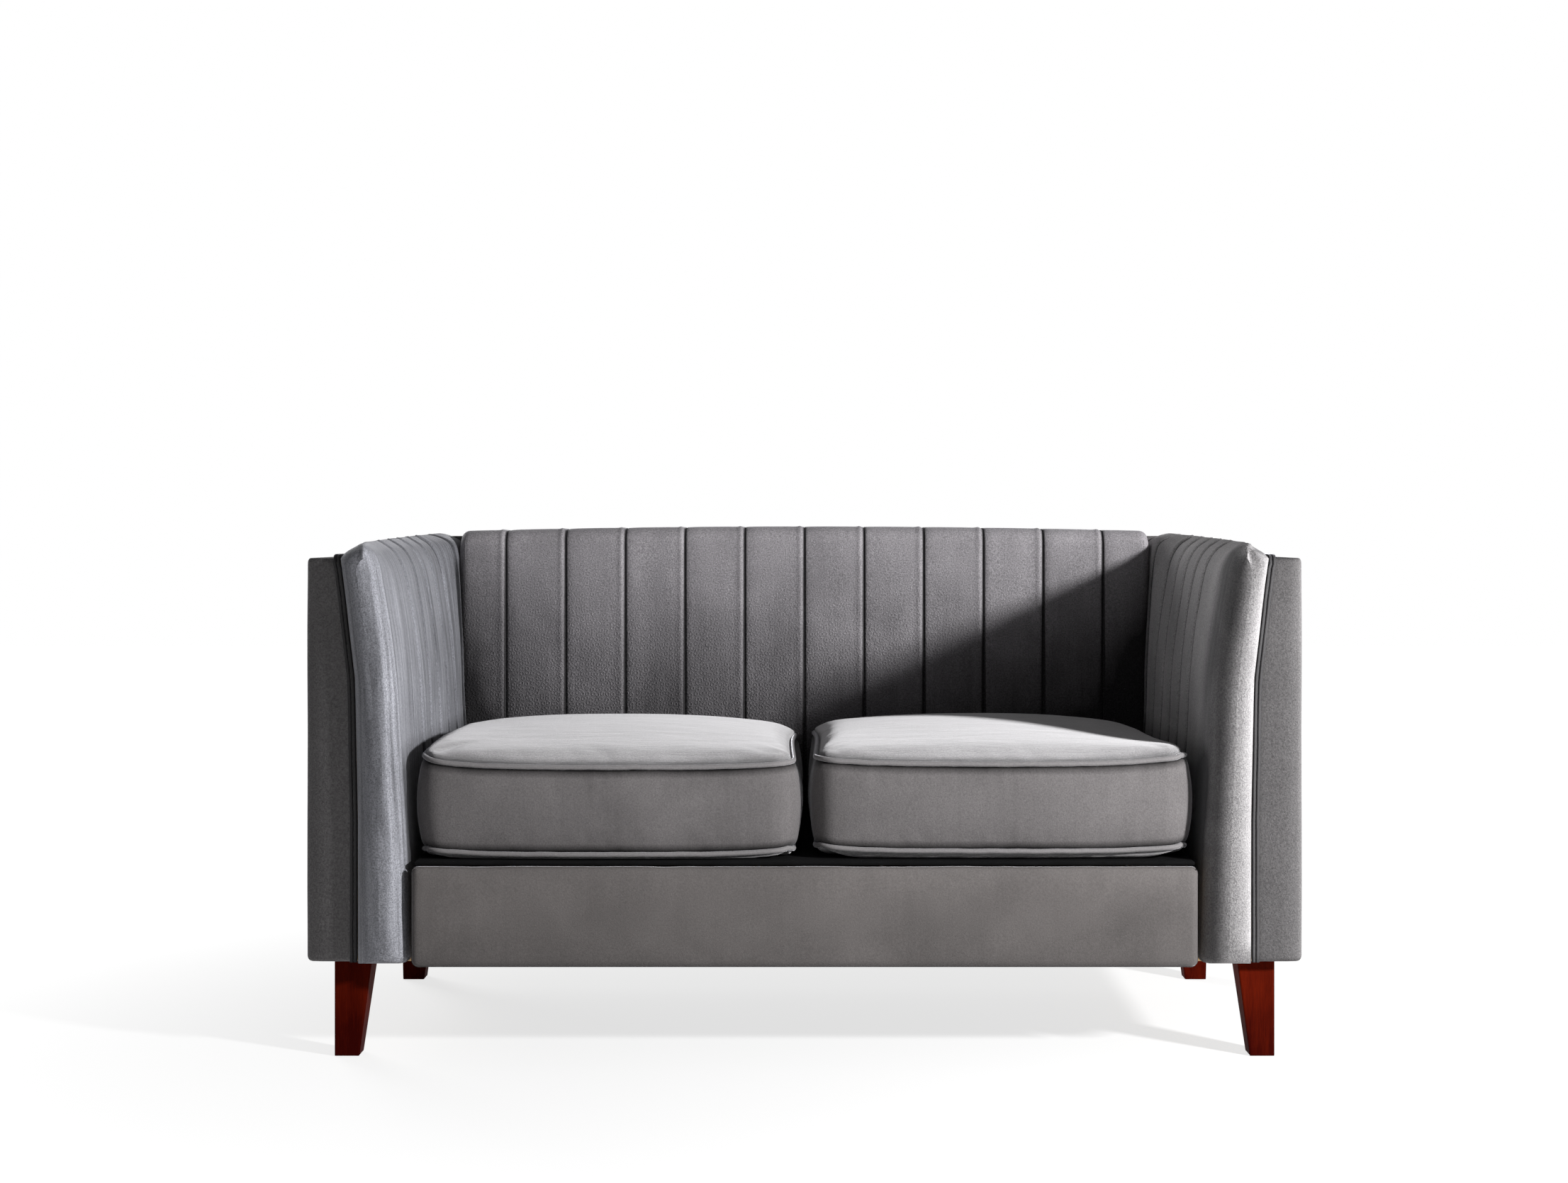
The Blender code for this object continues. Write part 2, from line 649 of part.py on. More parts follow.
def make_base():
    side_rail_inner = RAIL_SIDE - BOARD_THICKNESS
    rail_rear = RAIL_FRONT + BOARD_THICKNESS
    box("front_rail", (-RAIL_SIDE, RAIL_FRONT, RAIL_BOTTOM), (RAIL_SIDE, rail_rear, RAIL_TOP), FRAME_WOOD)
    box(
        "rear_rail",
        (-RAIL_SIDE, REAR_RAIL_FRONT, RAIL_BOTTOM),
        (RAIL_SIDE, REAR_RAIL_REAR, RAIL_TOP),
        FRAME_WOOD,
    )
    for word, side in SIDES.items():
        box(
            f"side_rail_{word}",
            *mirrored(
                (side_rail_inner, rail_rear + TOUCH_GAP, RAIL_BOTTOM),
                (RAIL_SIDE, REAR_RAIL_FRONT - TOUCH_GAP, RAIL_TOP),
                side,
            ),
            FRAME_WOOD,
        )
    box(
        "centre_rail",
        (-BOARD_THICKNESS / 2, rail_rear + TOUCH_GAP, RAIL_BOTTOM),
        (BOARD_THICKNESS / 2, REAR_RAIL_FRONT - TOUCH_GAP, RAIL_BOTTOM + CENTRE_RAIL_HEIGHT),
        FRAME_WOOD,
    )
    box(
        "dust_cover",
        (-RAIL_SIDE, rail_rear - BOARD_THICKNESS / 2, RAIL_BOTTOM - TOUCH_GAP - DUST_CLOTH_THICKNESS),
        (RAIL_SIDE, REAR_RAIL_REAR, RAIL_BOTTOM - TOUCH_GAP),
        BLACK_CLOTH,
        edge=0,
    )
    box(
        "seat_deck",
        (-RAIL_SIDE, RAIL_COVER_FRONT + RAIL_COVER_RETURN + TOUCH_GAP, DECK_BOTTOM),
        (RAIL_SIDE, BACK_FACE - TOUCH_GAP, DECK_TOP),
        BLACK_CLOTH,
        edge=DECK_THICKNESS / 4,
    )


def make_rail_cover():
    """Padded velvet over the front rail: front, ends, underside and a short return on top."""
    rear = RAIL_FRONT + BOARD_THICKNESS / 2 - TOUCH_GAP - FRAME_GAP
    outline = (
        (RAIL_COVER_FRONT + RAIL_COVER_RETURN, RAIL_COVER_TOP),
        (RAIL_COVER_FRONT, RAIL_COVER_TOP),
        (RAIL_COVER_FRONT, RAIL_COVER_BOTTOM),
        (rear, RAIL_COVER_BOTTOM),
    )
    rings = [[(x, y, z) for y, z in outline] for x in (-RAIL_COVER_SIDE, RAIL_COVER_SIDE)]
    cover = loft("front_rail_cover", rings, VELVET, skip=lambda band, step: step == len(outline) - 1)
    rounding = cover.modifiers.new("rounded_edges", "BEVEL")
    rounding.width = PANEL_EDGE_RADIUS
    rounding.segments = 2
    rounding.limit_method = "ANGLE"
    add_wall(cover, UPHOLSTERY_WALL)


def make_spring(name, x):
    """A sinuous spring: flat waves of wire from the front rail to the rear rail."""
    start = RAIL_FRONT + SPRING_REST
    finish = REAR_RAIL_REAR - SPRING_REST
    waves = max(1, round((finish - start) / SPRING_WAVE))
    quarter = (finish - start) / (4 * waves)
    z = RAIL_TOP + TOUCH_GAP + SPRING_WIRE / 2
    half = SPRING_WIDTH / 2 - SPRING_WIRE / 2
    points = []
    for step in range(4 * waves + 1):
        swing = (1, 1, -1, -1)[step % 4]
        points.append((x + swing * half, start + step * quarter, z))
    curve = bpy.data.curves.new(name, "CURVE")
    curve.dimensions = "3D"
    curve.bevel_depth = SPRING_WIRE / 2
    curve.bevel_resolution = 1
    curve.use_fill_caps = True
    spline = curve.splines.new("POLY")
    spline.points.add(len(points) - 1)
    for target, point in zip(spline.points, points):
        target.co = (*point, 1)
    add_object(name, curve, STEEL)


make_base()
make_rail_cover()
for word, side in SIDES.items():
    pitch = (RAIL_SIDE - BOARD_THICKNESS) / SPRINGS_PER_SEAT
    for number in range(SPRINGS_PER_SEAT):
        make_spring(f"spring_{word}_{number + 1}", side * (pitch * number + pitch / 2))


# Back


def back_top(x):
    """The back's top edge is a little lower at its ends."""
    return BACK_HEIGHT - BACK_TOP_DIP * (x / BACK_SIDE) ** 2


def back_pad_ring(x, depth, end_inset):
    """The pad's outline from front to back: down its face, and hooked over the top rail."""
    top = back_top(x) - end_inset
    face = BACK_FACE + depth + end_inset
    hook_rear = ARM_REAR - TOUCH_GAP
    hook_bottom = ARM_PANEL_HEIGHT + TOUCH_GAP
    outline = [(BACK_PAD_REAR, DECK_BOTTOM + TOUCH_GAP), (face, DECK_BOTTOM + TOUCH_GAP)]
    for angle in (0, 22.5, 45, 67.5, 90):
        turn = math.radians(angle)
        outline.append((
            face + BACK_TOP_ROUND * (1 - math.cos(turn)),
            top - depth * math.sin(turn) - BACK_TOP_ROUND * (1 - math.sin(turn)),
        ))
    outline += [
        (hook_rear - BACK_END_ROUND, top - depth / 2),
        (hook_rear, top - BACK_END_ROUND),
        (hook_rear, hook_bottom),
        (BACK_PAD_REAR, hook_bottom),
    ]
    return [(x, y, z) for y, z in outline]


def make_back_pad():
    seams_each_way = int((BACK_SIDE - BACK_LAST_CHANNEL) / BACK_CHANNEL_PITCH)
    first = -seams_each_way * BACK_CHANNEL_PITCH
    stations = channel_stations(first, BACK_CHANNEL_PITCH, BACK_SIDE - BACK_LAST_CHANNEL)
    rings = [
        back_pad_ring(-BACK_SIDE, 0.0, BACK_END_ROUND),
        back_pad_ring(-BACK_SIDE + BACK_END_ROUND / 3, 0.0, BACK_END_ROUND / 3),
        back_pad_ring(-BACK_SIDE + BACK_END_ROUND, 0.0, 0.0),
    ]
    rings += [back_pad_ring(x, depth, 0.0) for x, depth in stations]
    rings += [
        back_pad_ring(BACK_SIDE - BACK_END_ROUND, 0.0, 0.0),
        back_pad_ring(BACK_SIDE - BACK_END_ROUND / 3, 0.0, BACK_END_ROUND / 3),
        back_pad_ring(BACK_SIDE, 0.0, BACK_END_ROUND),
    ]
    loft("back_pad", rings, VELVET)


def make_back_frame():
    rail_side = BACK_SIDE - PANEL_EDGE_RADIUS
    top_rail_top = ARM_PANEL_HEIGHT
    top_rail_bottom = top_rail_top - BACK_RAIL_HEIGHT
    post_outer = RAIL_SIDE
    post_inner = post_outer - BACK_POST_WIDTH
    bottom_rail_bottom = RAIL_TOP
    bottom_rail_top = bottom_rail_bottom + BACK_RAIL_HEIGHT
    front = BACK_FRAME_FRONT
    rear = BACK_FRAME_REAR - TOUCH_GAP
    box("back_top_rail", (-rail_side, front, top_rail_bottom), (rail_side, rear, top_rail_top), FRAME_WOOD)
    for word, side in SIDES.items():
        box(
            f"back_post_{word}",
            *mirrored((post_inner, front, RAIL_BOTTOM),
                      (post_outer, rear, top_rail_bottom - TOUCH_GAP), side),
            FRAME_WOOD,
        )
    box(
        "back_bottom_rail",
        (-post_inner + TOUCH_GAP, front, bottom_rail_bottom),
        (post_inner - TOUCH_GAP, rear, bottom_rail_top),
        FRAME_WOOD,
    )
    box(
        "back_centre_post",
        (-BACK_POST_WIDTH / 2, front, bottom_rail_top + TOUCH_GAP),
        (BACK_POST_WIDTH / 2, rear, top_rail_bottom - TOUCH_GAP),
        FRAME_WOOD,
    )
    box(
        "back_board",
        (-rail_side, BACK_BOARD_FRONT, RAIL_TOP + TOUCH_GAP),
        (rail_side, BACK_BOARD_FRONT + HARDBOARD_THICKNESS, top_rail_top),
        FRAME_WOOD,
        edge=0,
    )


def make_back_cover():
    """The velvet panel over the whole rear, cut to the line of the arms and the back."""
    low = LEG_HEIGHT + TOUCH_GAP
    ridge_x = ARM_PAD_INNER + ARM_INNER_SHARES[-1][-1] * ARM_PAD_WIDTH
    ridge = ridge_z(REAR) - BACK_COVER_THICKNESS
    seam_top = seam_x(ARM_PANEL_HEIGHT) + DOUBLE_WELT_WIDTH
    half = [
        (SIDE - TOUCH_GAP, low),
        (SIDE - TOUCH_GAP, ARM_PANEL_HEIGHT - BACK_COVER_THICKNESS),
        (seam_top, ARM_PANEL_HEIGHT - BACK_COVER_THICKNESS),
        (ridge_x, ridge),
        (BACK_SIDE, ridge),
    ]
    steps = 5
    for step in range(steps + 1):
        x = (BACK_SIDE - BACK_END_ROUND) * (1 - step / steps)
        half.append((x, back_top(x) - BACK_END_ROUND))
    outline = half + [(-x, z) for x, z in reversed(half[:-1])]
    cover = loft(
        "back_outer_cover",
        [[(x, y, z) for x, z in outline] for y in (REAR - BACK_COVER_THICKNESS, REAR)],
        VELVET,
    )
    return cover


make_back_pad()
make_back_frame()
make_back_cover()


# Seat cushions


def cushion_outline():
    """One cushion seen from above, about its middle: points, with the way out at each.

    The front bows forwards, the sides draw in between the corners, and the rear is
    straight so that the zip can run along it.
    """
    half_x = CUSHION_WIDTH / 2
    half_y = CUSHION_DEPTH / 2
    radius = CUSHION_CORNER_RADIUS
    corners = ((1, -1, -90), (1, 1, 0), (-1, 1, 90), (-1, -1, 180))
    outline = []
    for number, (right, rear, start) in enumerate(corners):
        middle = Vector((right * (half_x - radius), rear * (half_y - radius)))
        for turn_share in (0, 0.5, 1):
            turn = math.radians(start + 90 * turn_share)
            outline.append(middle + radius * Vector((math.cos(turn), math.sin(turn))))
        after = corners[(number + 1) % 4]
        next_middle = Vector((after[0] * (half_x - radius), after[1] * (half_y - radius)))
        turn = math.radians(start + 90)
        out = Vector((math.cos(turn), math.sin(turn)))
        begin = middle + radius * out
        finish = next_middle + radius * out
        shift = (-CUSHION_SIDE_DRAW, 0.0, -CUSHION_SIDE_DRAW, CUSHION_FRONT_BOW)[number]
        for share in EDGE_POINT_SHARES[number]:
            bow = shift * math.sin(math.pi * share)
            outline.append(begin.lerp(finish, share) + bow * out)
    return outline


OUTLINE = cushion_outline()
CORNER_POINTS = 3
ZIP_START = CORNER_POINTS + len(EDGE_POINT_SHARES[0]) + CORNER_POINTS
ZIP_END = ZIP_START + len(EDGE_POINT_SHARES[1]) - 1


def ways_out():
    count = len(OUTLINE)
    ways = []
    for i in range(count):
        run = (OUTLINE[(i + 1) % count] - OUTLINE[i - 1]).normalized()
        ways.append(Vector((run.y, -run.x)))
    for step in range(ZIP_START - 1, ZIP_END + 2):
        ways[step] = Vector((0, 1))
    return ways


WAYS = ways_out()


def corner_lift(point):
    """The corners of the cushion stand a little higher than its edges."""
    across = abs(point.x) / (CUSHION_WIDTH / 2)
    along = abs(point.y) / (CUSHION_DEPTH / 2)
    return CUSHION_CORNER_LIFT * min(1.0, across * along) ** LIFT_POWER


def cushion_ring(middle_x, z, outwards=0.0, scale=1.0, lift=0.0):
    """A level ring of the cushion. One that is scaled down also turns from square to round."""
    ring = []
    for point, way in zip(OUTLINE, WAYS):
        angle = math.atan2(point.y / CUSHION_DEPTH, point.x / CUSHION_WIDTH)
        rounded = Vector((CUSHION_WIDTH / 2 * math.cos(angle), CUSHION_DEPTH / 2 * math.sin(angle)))
        moved = rounded.lerp(point, scale) * scale + way * outwards
        ring.append((
            middle_x + moved.x,
            CUSHION_MIDDLE_Y + moved.y,
            z + lift * corner_lift(point),
        ))
    return ring


LOW_WELT_Z = CUSHION_BOTTOM + WELT_GROOVE_HALF
TOP_WELT_Z = CUSHION_BOTTOM + CUSHION_HEIGHT
BOX_MIDDLE_Z = (LOW_WELT_Z + TOP_WELT_Z) / 2
BOX_HALF = (TOP_WELT_Z - LOW_WELT_Z) / 2


def box_bulge(z):
    """The cushion's border swells between its two welts."""
    share = (z - BOX_MIDDLE_Z) / BOX_HALF
    return CUSHION_BOX_BULGE * (1 - share * share)


def crown_z(share):
    """The height of the cushion's crown at a share of the way out to its edge."""
    base = TOP_WELT_Z + WELT_GROOVE_HALF
    return base + (CUSHION_CROWN - WELT_GROOVE_HALF) * (1 - share ** CROWN_POWER)


def cover_rings(middle_x):
    zip_low = BOX_MIDDLE_Z - ZIP_WIDTH / 2 - ZIP_GAP
    zip_high = BOX_MIDDLE_Z + ZIP_WIDTH / 2 + ZIP_GAP
    swell = box_bulge(BOX_MIDDLE_Z)
    quarter = BOX_HALF / 2
    rings = [cushion_ring(middle_x, CUSHION_BOTTOM, scale=CUSHION_FLAT_SHARE)]
    rings.append(cushion_ring(middle_x, CUSHION_BOTTOM + CUSHION_CLOTH, -WELT_GROOVE_HALF, lift=1.0))
    for welt_z, low_way, high_way in (
        (LOW_WELT_Z, None, box_bulge(LOW_WELT_Z + WELT_GROOVE_HALF)),
        (TOP_WELT_Z, box_bulge(TOP_WELT_Z - WELT_GROOVE_HALF), None),
    ):
        if low_way is not None:
            rings.append(cushion_ring(middle_x, welt_z - WELT_GROOVE_HALF, low_way, lift=1.0))
        rings.append(cushion_ring(middle_x, welt_z, -WELT_GROOVE_DEPTH, lift=1.0))
        if high_way is not None:
            rings.append(cushion_ring(middle_x, welt_z + WELT_GROOVE_HALF, high_way, lift=1.0))
            low_z = BOX_MIDDLE_Z - quarter
            rings.append(cushion_ring(middle_x, low_z, box_bulge(low_z), lift=BORDER_LIFT_SHARE))
            rings.append(cushion_ring(middle_x, zip_low, swell))
            rings.append(cushion_ring(middle_x, zip_high, swell))
            high_z = BOX_MIDDLE_Z + quarter
            rings.append(cushion_ring(middle_x, high_z, box_bulge(high_z), lift=BORDER_LIFT_SHARE))
    rings.append(cushion_ring(middle_x, crown_z(1.0), -WELT_SINK, lift=1.0))
    for share in CROWN_RING_SHARES:
        rings.append(cushion_ring(middle_x, crown_z(share), scale=share, lift=share ** LIFT_POWER))
    return rings


def make_cover(word, middle_x):
    rings = cover_rings(middle_x)
    zip_band = 5
    cover = loft(
        f"cushion_cover_{word}", rings, VELVET,
        skip=lambda band, step: band == zip_band and ZIP_START <= step < ZIP_END,
    )
    add_wall(cover, CUSHION_CLOTH)
    return rings[zip_band][ZIP_START], rings[zip_band][ZIP_END]


def make_foam(word, middle_x):
    inwards = -WELT_GROOVE_DEPTH - CUSHION_CLOTH - FOAM_GAP
    low = CUSHION_BOTTOM + CUSHION_CLOTH + FOAM_GAP
    rings = [
        cushion_ring(middle_x, low, scale=CUSHION_FLAT_SHARE - 2 * (1 - CUSHION_FLAT_SHARE) / 4),
        cushion_ring(middle_x, LOW_WELT_Z + WELT_GROOVE_HALF / 2, inwards - WELT_GROOVE_HALF / 2),
        cushion_ring(middle_x, TOP_WELT_Z - WELT_GROOVE_HALF / 2, inwards - WELT_GROOVE_HALF / 2),
    ]
    for share in FOAM_RING_SHARES:
        rings.append(cushion_ring(middle_x, crown_z(share) - CUSHION_CLOTH - FOAM_CROWN_GAP, scale=share))
    loft(f"cushion_foam_{word}", rings, FOAM)


def make_cushion_welt(name, middle_x, z):
    """One cord round the whole cushion, in the groove between two panels."""
    ring = cushion_ring(middle_x, z, -WELT_SINK, lift=1.0)
    curve = bpy.data.curves.new(name, "CURVE")
    curve.dimensions = "3D"
    curve.bevel_depth = CUSHION_WELT / 2
    curve.bevel_resolution = 1
    spline = curve.splines.new("POLY")
    spline.points.add(len(ring) - 1)
    spline.use_cyclic_u = True
    for target, point in zip(spline.points, ring):
        target.co = (*point, 1)
    add_object(name, curve, WELT_VELVET)


def make_zip(word, ends):
    low_x = min(end[0] for end in ends) + ZIP_GAP
    high_x = max(end[0] for end in ends) - ZIP_GAP
    face = ends[0][1]
    box(
        f"cushion_zip_{word}",
        (low_x, face - CUSHION_CLOTH, BOX_MIDDLE_Z - ZIP_WIDTH / 2),
        (high_x, face + ZIP_PROUD, BOX_MIDDLE_Z + ZIP_WIDTH / 2),
        BLACK_CLOTH,
        edge=0,
    )
    outline = (
        (0, SLIDER_WIDTH / 2),
        (SLIDER_LENGTH, SLIDER_WIDTH / 3),
        (SLIDER_LENGTH, SLIDER_TAB_WIDTH / 2),
        (SLIDER_LENGTH + SLIDER_TAB_LENGTH, SLIDER_TAB_WIDTH / 2),
        (SLIDER_LENGTH + SLIDER_TAB_LENGTH, -SLIDER_TAB_WIDTH / 2),
        (SLIDER_LENGTH, -SLIDER_TAB_WIDTH / 2),
        (SLIDER_LENGTH, -SLIDER_WIDTH / 3),
        (0, -SLIDER_WIDTH / 2),
    )
    near = face + ZIP_PROUD + TOUCH_GAP
    loft(
        f"zip_slider_{word}",
        [
            [(low_x + along, y, BOX_MIDDLE_Z + up) for along, up in outline]
            for y in (near, near + SLIDER_THICKNESS)
        ],
        STEEL,
    )
    return high_x - low_x - SLIDER_LENGTH - SLIDER_TAB_LENGTH


for word, side in SIDES.items():
    middle_x = side * CUSHION_MIDDLE_X
    slit_ends = make_cover(word, middle_x)
    make_foam(word, middle_x)
    make_cushion_welt(f"cushion_welt_top_{word}", middle_x, TOP_WELT_Z)
    make_cushion_welt(f"cushion_welt_bottom_{word}", middle_x, LOW_WELT_Z)
    travel = make_zip(word, slit_ends)
    print(f"zip travel {word}: {travel:.4f} m")

print(f"cushion bottom {CUSHION_BOTTOM:.4f} m, crown {TOP_WELT_Z + CUSHION_CROWN:.4f} m")
print(f"{len(sofa.objects)} pieces")
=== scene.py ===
# %% [markdown]
# # A channel-sewn velvet sofa for two
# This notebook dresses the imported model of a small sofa. The model gives every piece its
# real size and place, in metres with +Z up and the front towards -Y. Each step below says
# what a piece is on the real sofa, and then builds its finished surface round that model.

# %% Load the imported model
import math

import bmesh
import bpy
import numpy as np
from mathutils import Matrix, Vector, noise


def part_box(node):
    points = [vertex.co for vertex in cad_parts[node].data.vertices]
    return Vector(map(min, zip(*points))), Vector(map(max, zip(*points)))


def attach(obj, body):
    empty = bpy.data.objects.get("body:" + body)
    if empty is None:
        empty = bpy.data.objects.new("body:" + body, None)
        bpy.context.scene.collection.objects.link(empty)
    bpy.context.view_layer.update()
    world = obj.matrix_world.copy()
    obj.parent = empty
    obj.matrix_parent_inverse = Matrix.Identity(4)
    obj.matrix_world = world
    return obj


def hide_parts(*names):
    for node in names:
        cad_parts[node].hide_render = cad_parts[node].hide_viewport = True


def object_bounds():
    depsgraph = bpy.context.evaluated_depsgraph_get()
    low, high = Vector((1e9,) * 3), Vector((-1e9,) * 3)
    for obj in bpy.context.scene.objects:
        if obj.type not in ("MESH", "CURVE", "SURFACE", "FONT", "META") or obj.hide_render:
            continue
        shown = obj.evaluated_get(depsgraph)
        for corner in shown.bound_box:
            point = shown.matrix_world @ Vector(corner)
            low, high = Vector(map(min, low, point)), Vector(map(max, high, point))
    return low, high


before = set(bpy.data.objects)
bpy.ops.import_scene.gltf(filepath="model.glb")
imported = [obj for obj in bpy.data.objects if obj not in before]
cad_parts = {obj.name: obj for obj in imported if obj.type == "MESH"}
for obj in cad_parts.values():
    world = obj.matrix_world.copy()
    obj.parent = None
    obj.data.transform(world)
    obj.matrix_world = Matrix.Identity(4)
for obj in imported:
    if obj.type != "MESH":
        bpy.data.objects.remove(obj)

CAD_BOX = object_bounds()
print("the model measures", [round(high - low, 4) for low, high in zip(*CAD_BOX)], "m")

# %% [markdown]
# ## Camera
# The picture is a level view from straight in front, so upright edges stay upright. The
# lens is given by the photograph's own numbers: how many of its pixels one unit of slope
# covers, the row of the horizon, and the column that all the depth lines run to. A level
# camera with a small shift keeps the uprights parallel, which a tilted one would not.

# %% Set the camera
PHOTO_WIDTH = 2212
PHOTO_HEIGHT = 1669
FOCAL_PIXELS = 3321
VANISHING_COLUMN = 1135
HORIZON_ROW = 749
SENSOR_WIDTH = 36
CAMERA_PLACE = (0, -3.82, 0.781)

lens = bpy.data.cameras.new("camera")
lens.sensor_width = SENSOR_WIDTH
lens.lens = FOCAL_PIXELS / PHOTO_WIDTH * SENSOR_WIDTH
lens.shift_x = (PHOTO_WIDTH / 2 - VANISHING_COLUMN) / PHOTO_WIDTH
lens.shift_y = (HORIZON_ROW - PHOTO_HEIGHT / 2) / PHOTO_WIDTH
camera = bpy.data.objects.new("camera", lens)
camera.location = CAMERA_PLACE
camera.rotation_euler = (math.radians(90), 0, 0)
bpy.context.scene.collection.objects.link(camera)
bpy.context.scene.camera = camera
print(f"lens {lens.lens:.1f} mm")

# %% [markdown]
# ## Light, floor and backdrop
# One lamp stands in front and to the right, as high as the sofa's shadow asks: the right
# arm throws a slanting shadow over the back. The lamp is a small square, so that the
# shadow's edge softens with distance. A wide, weak lamp behind shows the rear from other
# sides and hardly reaches the front. The world fills the rest with plain grey light. The
# white surround is only what the camera and shiny surfaces see, so it adds no light.

# %% Light the scene
KEY_PLACE = Vector((2.61, -2.32, 1.58))
KEY_AIM = Vector((0.0, 0.05, 0.45))
KEY_SIZE = 0.26
KEY_POWER = 232
FILL_STRENGTH = 0.13

REAR_PLACE = Vector((-2.3, 2.7, 1.15))
REAR_AIM = Vector((0.0, 0.3, 0.4))
REAR_SIZE = 1.4
REAR_POWER = 90


def add_lamp(name, place, aim, size, power):
    """A square lamp at one place, pointed at another."""
    light = bpy.data.lights.new(name, "AREA")
    light.shape = "SQUARE"
    light.size = size
    light.energy = power
    lamp = bpy.data.objects.new(name, light)
    lamp.location = place
    lamp.rotation_euler = (aim - place).to_track_quat("-Z", "Y").to_euler()
    bpy.context.scene.collection.objects.link(lamp)
    return lamp


bpy.context.scene.view_settings.view_transform = "Standard"
key = add_lamp("key", KEY_PLACE, KEY_AIM, KEY_SIZE, KEY_POWER)
rear_lamp = add_lamp("rear", REAR_PLACE, REAR_AIM, REAR_SIZE, REAR_POWER)
print("lamps:", key.name, rear_lamp.name)

# %% [markdown]
# ## Shader maths as sums
# Materials are easier to read when their maths looks like maths. This class wraps one
# socket of a node tree. A sum on it adds a Math node, and its one method adds any other
# node from a type, its settings and the values or links of its sockets.


# %% A socket that can be used in sums
class Wire:
    """One output socket of a node tree, or the tree alone before anything is made."""

    def __init__(self, tree, socket=None):
        self.tree = tree
        self.socket = socket

    def node(self, kind, settings=(), inputs=(), output=0):
        """Add a node: settings first, then the values or links of its sockets."""
        made = self.tree.nodes.new(kind)
        for name, value in dict(settings).items():
            if name == "stops":
                ramp = made.color_ramp
                for element, (place, colour) in zip(ramp.elements, value):
                    element.position = place
                    element.color = colour
                for place, colour in value[2:]:
                    ramp.elements.new(place).color = colour
            else:
                setattr(made, name, value)
        for name, value in dict(inputs).items():
            if isinstance(value, Wire):
                self.tree.links.new(value.socket, made.inputs[name])
            else:
                made.inputs[name].default_value = value
        return Wire(self.tree, made.outputs[output] if made.outputs else None)

    def maths(self, operation, first, second):
        return self.node("ShaderNodeMath", {"operation": operation}, {0: first, 1: second})

    def __add__(self, other):
        return self.maths("ADD", self, other)

    def __radd__(self, other):
        return self.maths("ADD", other, self)

    def __sub__(self, other):
        return self.maths("SUBTRACT", self, other)

    def __rsub__(self, other):
        return self.maths("SUBTRACT", other, self)

    def __mul__(self, other):
        return self.maths("MULTIPLY", self, other)

    def __rmul__(self, other):
        return self.maths("MULTIPLY", other, self)


# %% The surround
WORLD = bpy.data.worlds.new("surround")
WORLD.use_nodes = True
bpy.context.scene.world = WORLD
WORLD.node_tree.nodes.clear()
air = Wire(WORLD.node_tree)


def seen_directly(wire):
    """1 on rays from the camera, a mirror or glass, and 0 on rays that bring light."""
    straight = wire.node("ShaderNodeLightPath", output="Is Camera Ray")
    glossy = wire.node("ShaderNodeLightPath", output="Is Glossy Ray")
    through = wire.node("ShaderNodeLightPath", output="Is Transmission Ray")
    settings = {"operation": "ADD", "use_clamp": True}
    return wire.node("ShaderNodeMath", settings, {0: straight + glossy, 1: through})


strength = seen_directly(air) * (1 - FILL_STRENGTH) + FILL_STRENGTH
surround = air.node("ShaderNodeBackground", inputs={"Color": (1, 1, 1, 1), "Strength": strength})
air.node("ShaderNodeOutputWorld", inputs={"Surface": surround})

# %% The floor
FLOOR_SIZE = 24
FLOOR_COLOUR = (0.80, 0.80, 0.80, 1)
WHITE_LEVEL = 1.08
FADE_START = 0.5
FADE_END = 1.9
WHITENESS = 0.68

floor_mesh = bpy.data.meshes.new("floor")
corners = [(x * FLOOR_SIZE / 2, y * FLOOR_SIZE / 2, 0) for x, y in ((-1, -1), (1, -1), (1, 1), (-1, 1))]
floor_mesh.from_pydata(corners, [], [(0, 1, 2, 3)])
floor = bpy.data.objects.new("floor", floor_mesh)
bpy.context.scene.collection.objects.link(floor)

paint = bpy.data.materials.new("floor")
paint.use_nodes = True
paint.node_tree.nodes.clear()
wire = Wire(paint.node_tree)
matt = wire.node("ShaderNodeBsdfDiffuse", inputs={"Color": FLOOR_COLOUR})
white = wire.node("ShaderNodeEmission", inputs={"Color": (1, 1, 1, 1), "Strength": WHITE_LEVEL})
place = wire.node("ShaderNodeTexCoord", output="Object")
distance = wire.node("ShaderNodeVectorMath", {"operation": "LENGTH"}, {0: place}, output="Value")
fade = wire.node(
    "ShaderNodeMapRange",
    {"interpolation_type": "SMOOTHSTEP"},
    {"Value": distance, "From Min": FADE_START, "From Max": FADE_END, "To Min": WHITENESS, "To Max": 1},
)
shown = wire.node("ShaderNodeMixShader", inputs={0: seen_directly(wire) * fade, 1: matt, 2: white})
wire.node("ShaderNodeOutputMaterial", inputs={"Surface": shown})
floor_mesh.materials.append(paint)
print("floor and surround are in place")

# %% [markdown]
# ## Velvet
# Velvet is a short, dense pile. Seen close it has a fine pebbled grain; seen from further
# away it has soft patches and brush marks, where the pile leans another way. Its edges
# look paler at a glancing angle, which the shader's sheen gives. All the soft changes are
# added into one number, which then picks a colour between a deep and a bright tone, and
# the grain multiplies that colour. The brush marks follow the cloth, so they read a UV map
# that is measured in metres. Low on the back, a press has left faint rings in the pile.

# %% Make velvet
GRAIN_PER_METRE = 430
PILE_PER_METRE = 1500
PATCHES_PER_METRE = 6.5
DEEP_SHARE = 0.08
BRIGHT_SHARE = 1.92
PILE_DEPTH = 0.0011
RINGS_PER_METRE = 115
RING_RADIUS = 0.34
RING_SHARPNESS = 7
RING_UNEVENNESS = 0.55


